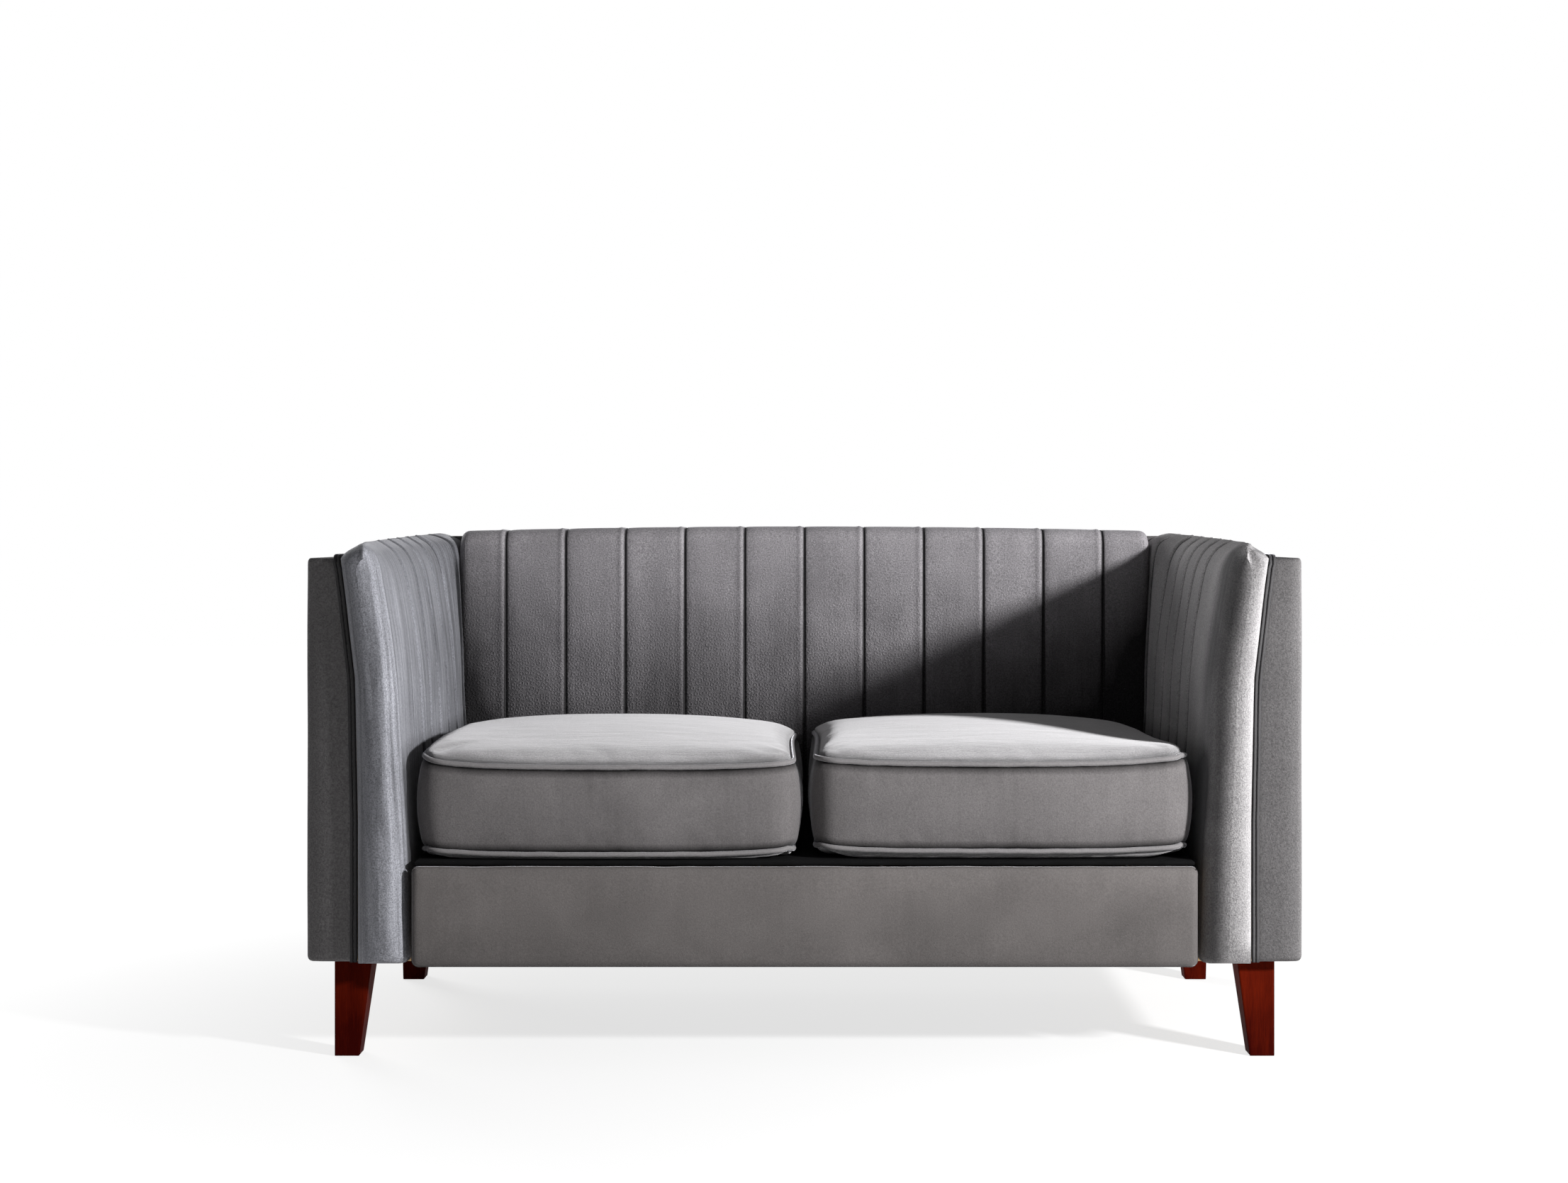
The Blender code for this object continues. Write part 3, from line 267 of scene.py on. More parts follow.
def new_material(name):
    material = bpy.data.materials.new(name)
    material.use_nodes = True
    material.node_tree.nodes.clear()
    return material, Wire(material.node_tree)


def finish_material(wire, **inputs):
    """Add the main shader with these sockets and join it to the output."""
    sockets = {name.replace("_", " "): value for name, value in inputs.items()}
    shader = wire.node("ShaderNodeBsdfPrincipled", inputs=sockets)
    wire.node("ShaderNodeOutputMaterial", inputs={"Surface": shader})


def grain(wire, place, scale, detail=2.0, roughness=0.5, distortion=0.0):
    noise_shape = {"Detail": detail, "Roughness": roughness, "Distortion": distortion}
    return wire.node("ShaderNodeTexNoise", inputs={"Vector": place, "Scale": scale, **noise_shape})


def between(wire, share, deep, bright):
    """A colour between two others, by a share from 0 to 1."""
    return wire.node(
        "ShaderNodeMix",
        {"data_type": "RGBA", "clamp_factor": True},
        {"Factor": share, 6: deep, 7: bright},
        output=2,
    )


def falling(wire, value, start, end, most=1.0):
    """A share that falls from its most to 0 while a value climbs from start to end."""
    span = {"From Min": start, "From Max": end, "To Min": most, "To Max": 0}
    return wire.node("ShaderNodeMapRange", inputs={"Value": value, **span})


def bumps(wire, height, strength, distance, **more):
    sockets = {"Strength": strength, "Distance": distance, "Height": height, **more}
    return wire.node("ShaderNodeBump", inputs=sockets)


def stretched(wire, place, scale):
    return wire.node("ShaderNodeVectorMath", {"operation": "MULTIPLY"}, {0: place, 1: scale})


def scaled(colour, share):
    return tuple(part * share for part in colour) + (1.0,)


def pressed_rings(wire, cloth):
    """Faint rings that a press leaves in the pile: 1 on a ring, 0 away from it."""
    cells = wire.node(
        "ShaderNodeTexVoronoi",
        {"voronoi_dimensions": "2D"},
        {"Vector": cloth, "Scale": RINGS_PER_METRE, "Randomness": RING_UNEVENNESS},
        output="Distance",
    )
    off_ring = wire.maths("ABSOLUTE", cells - RING_RADIUS, 0) * RING_SHARPNESS
    return 1 - wire.maths("MINIMUM", off_ring, 1)


def make_velvet(
    name, colour, marks=0.06, marks_scale=(75, 5, 1), patches=0.20, pebble=0.26, bump=0.6,
    sheen=(1.0, 0.3), tint=(0.88, 0.88, 0.93, 1), lean=(0, 0, 0), low=None, seam_and_shade_strength=0.5, ripple=0.0,
    emboss=0.0,
):
    """Velvet of one colour. marks are brush marks along the cloth's second direction. The mesh's seam
    attribute darkens the seams and holds painted shade, and low darkens the cloth towards the bottom.
    """
    material, wire = new_material(name)
    place = wire.node("ShaderNodeTexCoord", output="Object")
    cloth = wire.node("ShaderNodeUVMap", {"uv_map": "cloth"})
    seam = wire.node("ShaderNodeAttribute", {"attribute_name": "seam"}, output="Fac")
    pebbles = grain(wire, place, GRAIN_PER_METRE, 3.0, 0.8)
    pile = grain(wire, place, PILE_PER_METRE, 1.0)
    soft = grain(wire, place, PATCHES_PER_METRE, 3.0, 0.5, 0.4)
    brushed = grain(wire, stretched(wire, cloth, marks_scale), 1.0, 3.0, 0.62, 0.3)
    shade = 0.5 + (soft - 0.5) * patches * 2 + (brushed - 0.5) * marks * 2
    # The seam attribute darkens the cloth: it marks the seams, and elsewhere it is painted shade in recesses
    # and covered places.
    shade = shade - seam * seam_and_shade_strength
    height = pebbles * 0.7 + pile * 0.12 + brushed * ripple
    # low darkens the cloth towards the bottom. On the back this is painted shade where the back sinks behind
    # the cushions; on the rail it only makes the lower part darker.
    if low:
        level = wire.node("ShaderNodeSeparateXYZ", inputs={0: place}, output="Z")
        deeper = falling(wire, level, low[0], low[1])
        shade = shade - deeper * low[2]
        height = height + pressed_rings(wire, cloth) * deeper * emboss
    tone = between(wire, shade, scaled(colour, DEEP_SHARE), scaled(colour, BRIGHT_SHARE))
    speckle = 1 + (pebbles - 0.5) * pebble * 4 + (pile - 0.5) * 0.2
    tone = wire.node("ShaderNodeVectorMath", {"operation": "SCALE"}, {0: tone, "Scale": speckle})
    upright = wire.node("ShaderNodeNewGeometry", output="Normal")
    leaning = wire.node("ShaderNodeVectorMath", {"operation": "ADD"}, {0: upright, 1: lean})
    nap = wire.node("ShaderNodeVectorMath", {"operation": "NORMALIZE"}, {0: leaning})
    relief = bumps(wire, height, bump, PILE_DEPTH, Normal=nap)
    finish_material(
        wire,
        Base_Color=tone,
        Roughness=0.78 + (pile - 0.5) * 0.2,
        Specular_IOR_Level=0.05,
        Sheen_Weight=sheen[0],
        Sheen_Roughness=sheen[1],
        Sheen_Tint=tint,
        Normal=relief,
    )
    return material


# All these velvets are one cloth. Their base colours are set apart piece by piece to match how the light
# falls on each: the seat tops paler than the borders, the back paler than the panels, the right arm paler
# than the left, the cushion welts paler and the double welts darker. These differences are painted light and
# shade.
BACK_VELVET = make_velvet(
    "back_velvet", (0.300, 0.286, 0.301), marks=0.05, pebble=0.60, bump=0.9, low=(0.45, 0.76, 0.34),
    sheen=(0.30, 0.4), lean=(-0.32, 0, 0), seam_and_shade_strength=0.8, emboss=0.8,
)
LEFT_ARM_VELVET = make_velvet(
    "left_arm_velvet", (0.228, 0.231, 0.254), marks=0.58, marks_scale=(150, 3.2, 1), pebble=0.60, bump=1.0,
    sheen=(0.35, 0.4), lean=(-0.38, 0, 0),
)
RIGHT_ARM_VELVET = make_velvet(
    "right_arm_velvet", (0.350, 0.339, 0.343), marks=0.08, marks_scale=(90, 4, 1), pebble=0.62, bump=0.9,
    sheen=(0.16, 0.4), lean=(-0.66, 0, 0),
)
PANEL_VELVET = make_velvet(
    "panel_velvet", (0.152, 0.146, 0.148), marks=0.03, patches=0.12, pebble=0.50, bump=0.8,
    sheen=(0.12, 0.3), lean=(-0.58, 0, 0),
)
RAIL_VELVET = make_velvet(
    "rail_velvet", (0.104, 0.096, 0.094), marks=0.03, pebble=0.24, bump=0.4, low=(0.14, 0.27, 0.10),
    sheen=(0.6, 0.3),
)
SEAT_VELVET = make_velvet(
    "seat_velvet", (0.180, 0.174, 0.177), marks=0.22, marks_scale=(9, 34, 1), pebble=0.55, bump=0.8,
    sheen=(0.70, 0.68), tint=(0.93, 0.92, 0.94, 1), seam_and_shade_strength=0.6, ripple=2.2,
)
BORDER_VELVET = make_velvet(
    "border_velvet", (0.114, 0.107, 0.108), marks=0.05, pebble=0.30, bump=0.5, sheen=(0.45, 0.3), seam_and_shade_strength=0.8
)
WELT_VELVET = make_velvet("welt_velvet", (0.165, 0.158, 0.160), marks=0.03, patches=0.08, pebble=0.2)
DOUBLE_WELT_VELVET = make_velvet("double_welt_velvet", (0.070, 0.068, 0.070), marks=0.03)
print("velvets:", [m.name for m in bpy.data.materials if "velvet" in m.name])

# %% [markdown]
# ## Wood
# The legs are stained a deep red-brown. The stain gathers in the grain and near the foot,
# and it hardly shines. The hidden frame is pale, plain-sawn softwood. Both are
# the same idea with other colours: noise stretched along the board makes the grain lines,
# and a finer one makes the pores.


# %% Make wood
ALONG_THE_GRAIN = 0.07
GRAIN_LINES_PER_METRE = 26
PORES_PER_METRE = 620
CLOUDS_PER_METRE = 14
FOOT_STAIN_HEIGHT = 0.12


def make_wood(name, pale, dark, along, roughness, foot_shade=0.0):
    """Wood whose grain runs along one axis. foot_shade darkens what lies near the floor."""
    material, wire = new_material(name)
    place = wire.node("ShaderNodeTexCoord", output="Object")
    squeeze = tuple(ALONG_THE_GRAIN if axis == along else 1.0 for axis in range(3))
    board = stretched(wire, place, squeeze)
    rings = grain(wire, board, GRAIN_LINES_PER_METRE, 3.0, 0.55, 1.2)
    pores = grain(wire, board, PORES_PER_METRE, 2.0, 0.6)
    cloud = grain(wire, place, CLOUDS_PER_METRE, 2.0)
    height = wire.node("ShaderNodeSeparateXYZ", inputs={0: place}, output="Z")
    low = falling(wire, height, 0.0, FOOT_STAIN_HEIGHT, foot_shade)
    shade = rings * 0.85 + (pores - 0.5) * 0.55 + (cloud - 0.5) * 0.5 - low
    tone = between(wire, shade, (*dark, 1), (*pale, 1))
    relief = bumps(wire, pores + rings * 0.4, 0.12, 0.0006)
    finish_material(
        wire,
        Base_Color=tone,
        Roughness=roughness + (pores - 0.5) * 0.15,
        Specular_IOR_Level=0.015,
        Normal=relief,
    )
    return material


UPRIGHT_AXIS = 2
STAIN_PALE = (0.112, 0.008, 0.0013)
STAIN_DARK = (0.024, 0.0009, 0.0003)
SOFTWOOD_PALE = (0.62, 0.45, 0.27)
SOFTWOOD_DARK = (0.40, 0.25, 0.12)
LEG_WOOD = make_wood("leg_wood", STAIN_PALE, STAIN_DARK, UPRIGHT_AXIS, 0.6, foot_shade=0.35)
FRAME_ALONG_X, FRAME_ALONG_Y, FRAME_ALONG_Z = (
    make_wood(f"frame_wood_{letter}", SOFTWOOD_PALE, SOFTWOOD_DARK, axis, 0.75)
    for axis, letter in enumerate("xyz")
)
print("woods:", LEG_WOOD.name, FRAME_ALONG_X.name, FRAME_ALONG_Y.name, FRAME_ALONG_Z.name)

# %% [markdown]
# ## Cloth under the seat, foam and metal
# The deck and the dust cover are black cloth, woven from crossing threads: two wave
# textures at right angles make the weave. Foam is a mass of tiny open cells, which a
# Voronoi texture draws. The zip and the springs are plain drawn steel.


# %% Make the hidden finishes
def make_black_cloth(name, threads):
    material, wire = new_material(name)
    place = wire.node("ShaderNodeTexCoord", output="Object")
    waves = {"Vector": place, "Scale": threads, "Distortion": 1.0}
    warp = wire.node("ShaderNodeTexWave", {"bands_direction": "X"}, waves)
    weft = wire.node("ShaderNodeTexWave", {"bands_direction": "Y"}, waves)
    weave = warp * weft
    fluff = grain(wire, place, 60, 3.0)
    share = weave * 0.6 + fluff * 0.4
    tone = between(wire, share, (0.002, 0.002, 0.002, 1), (0.012, 0.012, 0.013, 1))
    relief = bumps(wire, weave, 0.4, 0.0005)
    finish_material(wire, Base_Color=tone, Roughness=0.92, Specular_IOR_Level=0.05, Normal=relief)
    return material


def make_foam_finish():
    material, wire = new_material("foam_finish")
    place = wire.node("ShaderNodeTexCoord", output="Object")
    cells = wire.node("ShaderNodeTexVoronoi", inputs={"Vector": place, "Scale": 700}, output="Distance")
    age = grain(wire, place, 9, 2.0)
    share = cells * 0.5 + age * 0.6
    tone = between(wire, share, (0.62, 0.55, 0.38, 1), (0.86, 0.83, 0.70, 1))
    relief = bumps(wire, cells, 0.5, 0.0008)
    finish_material(wire, Base_Color=tone, Roughness=0.95, Normal=relief)
    return material


def make_steel(name, colour, roughness):
    material, wire = new_material(name)
    place = wire.node("ShaderNodeTexCoord", output="Object")
    drawn = grain(wire, place, 420, 3.0)
    tone = between(wire, drawn, scaled(colour, 0.75), scaled(colour, 1.15))
    relief = bumps(wire, drawn, 0.08, 0.0003)
    dullness = roughness + (drawn - 0.5) * 0.2
    finish_material(wire, Base_Color=tone, Metallic=1.0, Roughness=dullness, Normal=relief)
    return material


DECK_CLOTH = make_black_cloth("deck_cloth", 420)
DUST_CLOTH = make_black_cloth("dust_cloth", 260)
ZIP_CLOTH = make_black_cloth("zip_cloth", 900)
FOAM_FINISH = make_foam_finish()
SPRING_STEEL = make_steel("spring_steel", (0.34, 0.34, 0.36), 0.42)
ZIP_STEEL = make_steel("zip_steel", (0.62, 0.60, 0.56), 0.30)
print(len(bpy.data.materials), "materials")

# %% [markdown]
# ## Tools for meshes
# Most of the sofa's surfaces are grids: rows of points that are joined by quads. The
# helpers below join such a grid, give it the cloth's own coordinates, merge what meets,
# and turn every face outwards. The last one hands a finished mesh over to the model.


# %% Join grids into meshes
WELD = 1e-5


def grid_faces(index, wrap=False):
    """Quads between the rows of an array of vertex numbers."""
    if wrap:
        index = np.concatenate([index, index[:, :1]], axis=1)
    quads = (index[:-1, :-1], index[:-1, 1:], index[1:, 1:], index[1:, :-1])
    return np.stack(quads, axis=-1).reshape(-1, 4).tolist()


def make_mesh(name, points, faces, cloth=None, seam=None):
    """A mesh with the cloth's coordinates and a mark that is 1 in a seam, which also holds painted shade."""
    mesh = bpy.data.meshes.new(name)
    mesh.from_pydata(np.asarray(points, float).tolist(), [], faces)
    if seam is not None:
        seam_and_shade = mesh.attributes.new("seam", "FLOAT", "POINT")
        seam_and_shade.data.foreach_set("value", np.asarray(seam, np.float32).ravel())
    if cloth is not None:
        at = np.zeros(len(mesh.loops), np.int32)
        mesh.loops.foreach_get("vertex_index", at)
        flat = np.asarray(cloth, np.float32).reshape(-1, 2)[at]
        mesh.uv_layers.new(name="cloth").data.foreach_set("uv", flat.ravel())
    return mesh


def face_outwards(shape):
    """Turn all faces the same way, and a closed shape's faces outwards."""
    bmesh.ops.recalc_face_normals(shape, faces=shape.faces)
    closed = all(edge.is_manifold for edge in shape.edges)
    if closed and shape.calc_volume(signed=True) < 0:
        bmesh.ops.reverse_faces(shape, faces=shape.faces)


def tidy_mesh(mesh):
    """Merge points that meet, drop flat faces and turn the rest outwards."""
    shape = bmesh.new()
    shape.from_mesh(mesh)
    bmesh.ops.remove_doubles(shape, verts=shape.verts, dist=WELD)
    bmesh.ops.dissolve_degenerate(shape, edges=shape.edges, dist=WELD)
    face_outwards(shape)
    shape.to_mesh(mesh)
    shape.free()
    mesh.shade_smooth()
    return mesh


# %% Hand a piece over to the model
def add_piece(name, mesh, material, body, nodes=()):
    """Link a finished mesh, give it its finish, hide the model's parts that it stands for, and hang it on
    the body that it rides on.
    """
    piece = bpy.data.objects.new(name, mesh)
    bpy.context.scene.collection.objects.link(piece)
    if material:
        mesh.materials.clear()
        mesh.materials.append(material)
    if nodes:
        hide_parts(*nodes)
    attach(piece, body)
    return piece


def wobble(points, size, seed, octaves=2):
    """Smooth noise, between about -1 and 1, at each of an array of points."""
    start = Vector((seed * 3.1, seed * 1.7, seed * 0.9))
    flat = np.asarray(points, float).reshape(-1, 3) / size
    return np.array([noise.fractal(Vector(point) + start, 1.0, 2.0, octaves) for point in flat])


# %% A curve through a few points
SAMPLES_PER_SPAN = 16


def even_spacing(path, count):
    """Points at equal steps along a path."""
    path = np.asarray(path, float)
    runs = np.linalg.norm(np.diff(path, axis=0), axis=1)
    along = np.concatenate([[0], np.cumsum(runs)])
    wanted = np.linspace(0, along[-1], count)
    return np.stack([np.interp(wanted, along, path[:, axis]) for axis in range(path.shape[1])], axis=1)


def curve_through(points, count):
    """A smooth curve through points, as evenly spaced places along it."""
    points = np.asarray(points, float)
    ends = np.concatenate([[2 * points[0] - points[1]], points, [2 * points[-1] - points[-2]]])
    fine = []
    for before, start, finish, after in zip(ends, ends[1:], ends[2:], ends[3:]):
        for share in np.arange(SAMPLES_PER_SPAN) / SAMPLES_PER_SPAN:
            pull_in = (finish - before) / 2
            pull_out = (after - start) / 2
            cubic = 2 * start - 2 * finish + pull_in + pull_out
            square = -3 * start + 3 * finish - 2 * pull_in - pull_out
            fine.append(((cubic * share + square) * share + pull_in) * share + start)
    fine.append(points[-1])
    return even_spacing(fine, count)


# %% [markdown]
# ## Sewn channels
# The back and the arms are quilted by straight seams. Between two seams the padding lies
# almost flat, and beside each seam it rolls over a soft shoulder into a narrow valley. The
# seam's spare cloth is pressed to one side underneath, where it lifts a low ridge. The
# thread also gathers the cloth into tiny puckers that die away within a few millimetres.

# %% The shape of a channel
GROOVE_DEPTH = 0.0085
SHOULDER_POWER = 5.0
SPARE_CLOTH_HEIGHT = 0.0019
SPARE_CLOTH_PLACE = 0.0078
SPARE_CLOTH_WIDTH = 0.004
PUCKER_HEIGHT = 0.00055
PUCKER_LENGTH = 0.011
PUCKER_REACH = 0.007
SEAM_MARK_REACH = 0.0022
SEAM_STEPS = (0, 0.0006, 0.0014, 0.0026, 0.0042, 0.0062, 0.0088, 0.012, 0.016, 0.021, 0.027, 0.034, 0.043)


def places_beside(seams, low, high, extra=()):
    """Places along a pad, closer together beside each seam."""
    places = set(extra) | {low, high}
    for seam in seams:
        places |= {seam + sign * step for step in SEAM_STEPS for sign in (-1, 1)}
    ordered = sorted(place for place in places if low <= place <= high)
    kept = [ordered[0]]
    for place in ordered[1:]:
        if place - kept[-1] > SEAM_STEPS[1] / 2:
            kept.append(place)
    kept[-1] = high
    return np.array(kept)


def from_seam(along, seams):
    """Each place's distance from the nearest seam, negative before it."""
    gaps = np.asarray(along)[:, None] - np.asarray(seams)[None, :]
    nearest = np.abs(gaps).argmin(axis=1)
    return gaps[np.arange(len(gaps)), nearest]


def channel_drop(gap, half_pitch, spare_side=-1):
    """How far a channel lies below its crown, at a distance from its seam."""
    share = 1 - np.minimum(np.abs(gap) / half_pitch, 1)
    roll = 1 - (1 - share ** SHOULDER_POWER) ** (1 / SHOULDER_POWER)
    spare = np.exp(-(((gap - spare_side * SPARE_CLOTH_PLACE) / SPARE_CLOTH_WIDTH) ** 2))
    return GROOVE_DEPTH * roll - SPARE_CLOTH_HEIGHT * spare


def seam_mark(gap):
    return np.exp(-((np.abs(gap) / SEAM_MARK_REACH) ** 2))


# %% [markdown]
# ## Back pad
# The back is one long pad with eleven seams, rolled over the top rail and hooked down
# behind it. Its top edge is a little lower at the ends. The pad is a row of outlines set
# side by side: each outline runs up the face, over the top and down the rear, and sinks
# where a seam crosses it.

# %% Build the back pad
BACK_PITCH = 0.1045
BACK_SEAMS = np.arange(-5, 6) * BACK_PITCH
BACK_TOP_ROUND = 0.026
BACK_REAR_ROUND = 0.014
BACK_END_ROUND = 0.017
BACK_TOP_DIP = 0.008
BACK_BILLOW = 0.0013
BACK_SHADE_DEPTH = 0.33
CREASE_SHADE = 0.95
LIT_CREASE_SHADE = 0.40
CREASE_REACH = 0.09
FACE_STEP = 0.0048
HIDDEN_STEP = 0.020
REAR_FADE = 0.05
FOOT_FADE = 0.02

back_low, back_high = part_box("back_pad")
arm_low, arm_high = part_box("arm_pad_right")
cushion_low, cushion_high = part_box("cushion_cover_right")
PAD_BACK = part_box("back_board")[0].y - 0.0003
HOOK_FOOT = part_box("back_top_rail")[1].z + 0.0003


def quarter(centre_y, centre_z, radius, start, steps):
    """Part of an outline: a quarter turn, clockwise as seen from +X."""
    turns = start - np.linspace(0, math.pi / 2, steps)
    return [(centre_y + radius * math.cos(t), centre_z + radius * math.sin(t)) for t in turns]


def back_outline(x):
    """The pad's outline at x: from its lower rear corner, up the face and over."""
    to_end = max(back_high.x - abs(x), 0.0)
    inside = min(to_end / BACK_END_ROUND, 1.0)
    inset = BACK_END_ROUND * (1 - math.sqrt(max(0.0, 1 - (1 - inside) ** 2)))
    top = back_high.z - BACK_TOP_DIP * (x / back_high.x) ** 2 - inset
    face = back_low.y + inset
    seen_from = cushion_high.z - 0.03
    line = [(PAD_BACK, back_low.z)]
    line += [(face, z) for z in np.arange(back_low.z, seen_from, HIDDEN_STEP)]
    shoulder = top - BACK_TOP_ROUND
    count = round((back_high.z - BACK_TOP_ROUND - seen_from) / FACE_STEP)
    line += [(face, z) for z in np.linspace(seen_from, shoulder, count, endpoint=False)]
    line += quarter(face + BACK_TOP_ROUND, shoulder, BACK_TOP_ROUND, math.pi, 10)
    rear = back_high.y
    line += [(y, top) for y in np.linspace(face + BACK_TOP_ROUND, rear - BACK_REAR_ROUND, 6)[1:-1]]
    line += quarter(rear - BACK_REAR_ROUND, top - BACK_REAR_ROUND, BACK_REAR_ROUND, math.pi / 2, 6)
    line += [(rear, HOOK_FOOT), ((rear + PAD_BACK) / 2, HOOK_FOOT), (PAD_BACK, HOOK_FOOT)]
    return np.array(line)


def outward(line):
    """The way out at each point of an outline that turns clockwise."""
    run = np.gradient(line, axis=0)
    way = np.stack([-run[:, 1], run[:, 0]], axis=1)
    return way / np.maximum(np.linalg.norm(way, axis=1, keepdims=True), 1e-9)


def make_back_pad():
    end_steps = [back_high.x - BACK_END_ROUND * (1 - math.sin(t)) for t in np.linspace(0, math.pi / 2, 7)]
    extra = [sign * place for place in end_steps for sign in (-1, 1)]
    stations = places_beside(BACK_SEAMS, back_low.x, back_high.x, extra)
    gap = from_seam(stations, BACK_SEAMS)
    drop = channel_drop(gap, BACK_PITCH / 2)
    rows = []
    for x, sink in zip(stations, drop):
        line = back_outline(x)
        way = outward(line)
        fade = np.clip((back_high.y - line[:, 0]) / REAR_FADE, 0, 1)
        fade *= np.clip((line[:, 1] - back_low.z) / FOOT_FADE, 0, 1)
        fade[-3:] = 0
        near_end = min(1.0, (back_high.x - abs(x)) / BACK_END_ROUND)
        moved = line - way * (sink * fade * near_end)[:, None]
        rows.append(np.column_stack([np.full(len(line), x), moved, fade]))
    rows = np.array(rows)
    points, fade = rows[..., :3], rows[..., 3]
    flat = points.reshape(-1, 3)
    near = np.exp(-np.abs(gap) / PUCKER_REACH)[:, None] * np.ones_like(fade)
    puckers = wobble(flat * (0.5, 1, 1), PUCKER_LENGTH, 2).reshape(fade.shape) * near * PUCKER_HEIGHT
    billow = wobble(flat * (1, 1, 0.4), 0.055, 5).reshape(fade.shape) * BACK_BILLOW * (1 - 0.8 * near)
    points[..., 1] -= (puckers + billow) * fade
    length = np.cumsum(np.linalg.norm(np.diff(points, axis=1, prepend=points[:, :1]), axis=2), axis=1)
    cloth = np.stack([points[..., 0], length], axis=-1)
    index = np.arange(fade.size).reshape(fade.shape)
    faces = grid_faces(index, wrap=True) + [index[0].tolist(), index[-1][::-1].tolist()]
    # The seam mark darkens each seam, and the ends of the back get painted shade that deepens downwards,
    # weaker at the lit left end than at the right end, which the right arm shades.
    to_end = back_high.x - np.abs(points[..., 0])
    depth = np.clip((back_high.z - points[..., 2]) / BACK_SHADE_DEPTH, 0, 1)
    strength = np.where(points[..., 0] < 0, LIT_CREASE_SHADE, CREASE_SHADE)
    seam_and_shade = seam_mark(gap)[:, None] + strength * depth * np.exp(-to_end / CREASE_REACH)
    mesh = tidy_mesh(make_mesh("back_pad_velvet", flat, faces, cloth, seam_and_shade))
    return add_piece("back_pad_velvet", mesh, BACK_VELVET, "frame", ("back_pad",))


back_pad = make_back_pad()
print("back pad:", len(back_pad.data.polygons), "faces")

# %% [markdown]
# ## Arm pads
# Each arm is a pad laid over a board. Its inner face leans outwards as it rises, rolls over
# a ridge and falls to the outer panel. In front the pad is rounded like a bolster, and six
# seams cross it from there to the back. The outline across the arm is a smooth curve
# through a short table of shares, which is the same table that shaped the model. Near the
# front the ridge is drawn inwards, and the cloth is gathered into folds that fan out from
# the top front corner. The seam mark also holds the shade in the deep, covered places.

# %% Sizes of the arm
ARM_SEAM_PITCH = 0.0876
ARM_FIRST_SEAM = 0.237
ARM_SEAMS = arm_low.y + ARM_FIRST_SEAM + np.arange(6) * ARM_SEAM_PITCH
ARM_INNER_SHARES = (
    (0.25, 0.06, 0.06), (0.50, 0.17, 0.17), (0.65, 0.23, 0.20), (0.76, 0.32, 0.24),
    (0.85, 0.43, 0.28), (0.91, 0.52, 0.31), (0.947, 0.62, 0.34), (0.975, 0.77, 0.42),
    (0.992, 0.96, 0.64), (1.0, 1.09, 0.95),
)
ARM_SLOPE_SHARES = ((0.82, 0.35), (0.42, 0.78), (0.0, 1.0))
ARM_FLARE_SHARES = ((0.0, 0.0), (0.36, 0.0), (0.70, 0.16), (0.83, 0.52), (0.91, 0.72), (1.0, 1.0))
ARM_FLARE = 0.025
ARM_RIDGE_RISE = 0.021
ARM_RIDGE_CLIMB = 0.015
ARM_FOOT_ROUND = 0.010
ARM_FRONT_ROUND = 0.046
ARM_FRONT_POWER = 2.15
FRONT_NARROW = 0.27
FRONT_NARROW_RUN = 0.14
ARM_FOOT_SHARE = 0.30
ARM_TOP_SHARE = 0.55
ARM_REAR_BLEND = 0.110
PAD_WIDTH = 0.078

panel_low, panel_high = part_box("arm_outer_panel_right")
welt_low, welt_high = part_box("arm_double_welt_right")
base_low, base_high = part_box("arm_base_board_right")
LEG_TOP = panel_low.z
PANEL_TOP = panel_high.z
SOFA_FRONT = arm_low.y
SOFA_REAR = CAD_BOX[1].y
PAD_INNER = arm_low.x
PAD_OUTER = PAD_INNER + PAD_WIDTH
FOOT = arm_low.z
print(f"arm pad from {PAD_INNER:.4f} to {PAD_OUTER:.4f} m, panel top at {PANEL_TOP:.3f} m")


def table(shares, at):
    """Read a table of share pairs as straight runs."""
    return np.interp(at, [pair[0] for pair in shares], [pair[1] for pair in shares])


def seam_x(z):
    """Where the pad meets the double welt, which flares outwards near the top."""
    return PAD_OUTER + ARM_FLARE * table(ARM_FLARE_SHARES, (np.asarray(z) - LEG_TOP) / (PANEL_TOP - LEG_TOP))


def ridge_z(y):
    climb = (y - SOFA_FRONT) / (SOFA_REAR - SOFA_FRONT)
    return PANEL_TOP + ARM_RIDGE_RISE + ARM_RIDGE_CLIMB * climb


# %% The outline across an arm
FACE_POINTS = 140
OUTER_POINTS = 18
FOOT_POINTS = 6


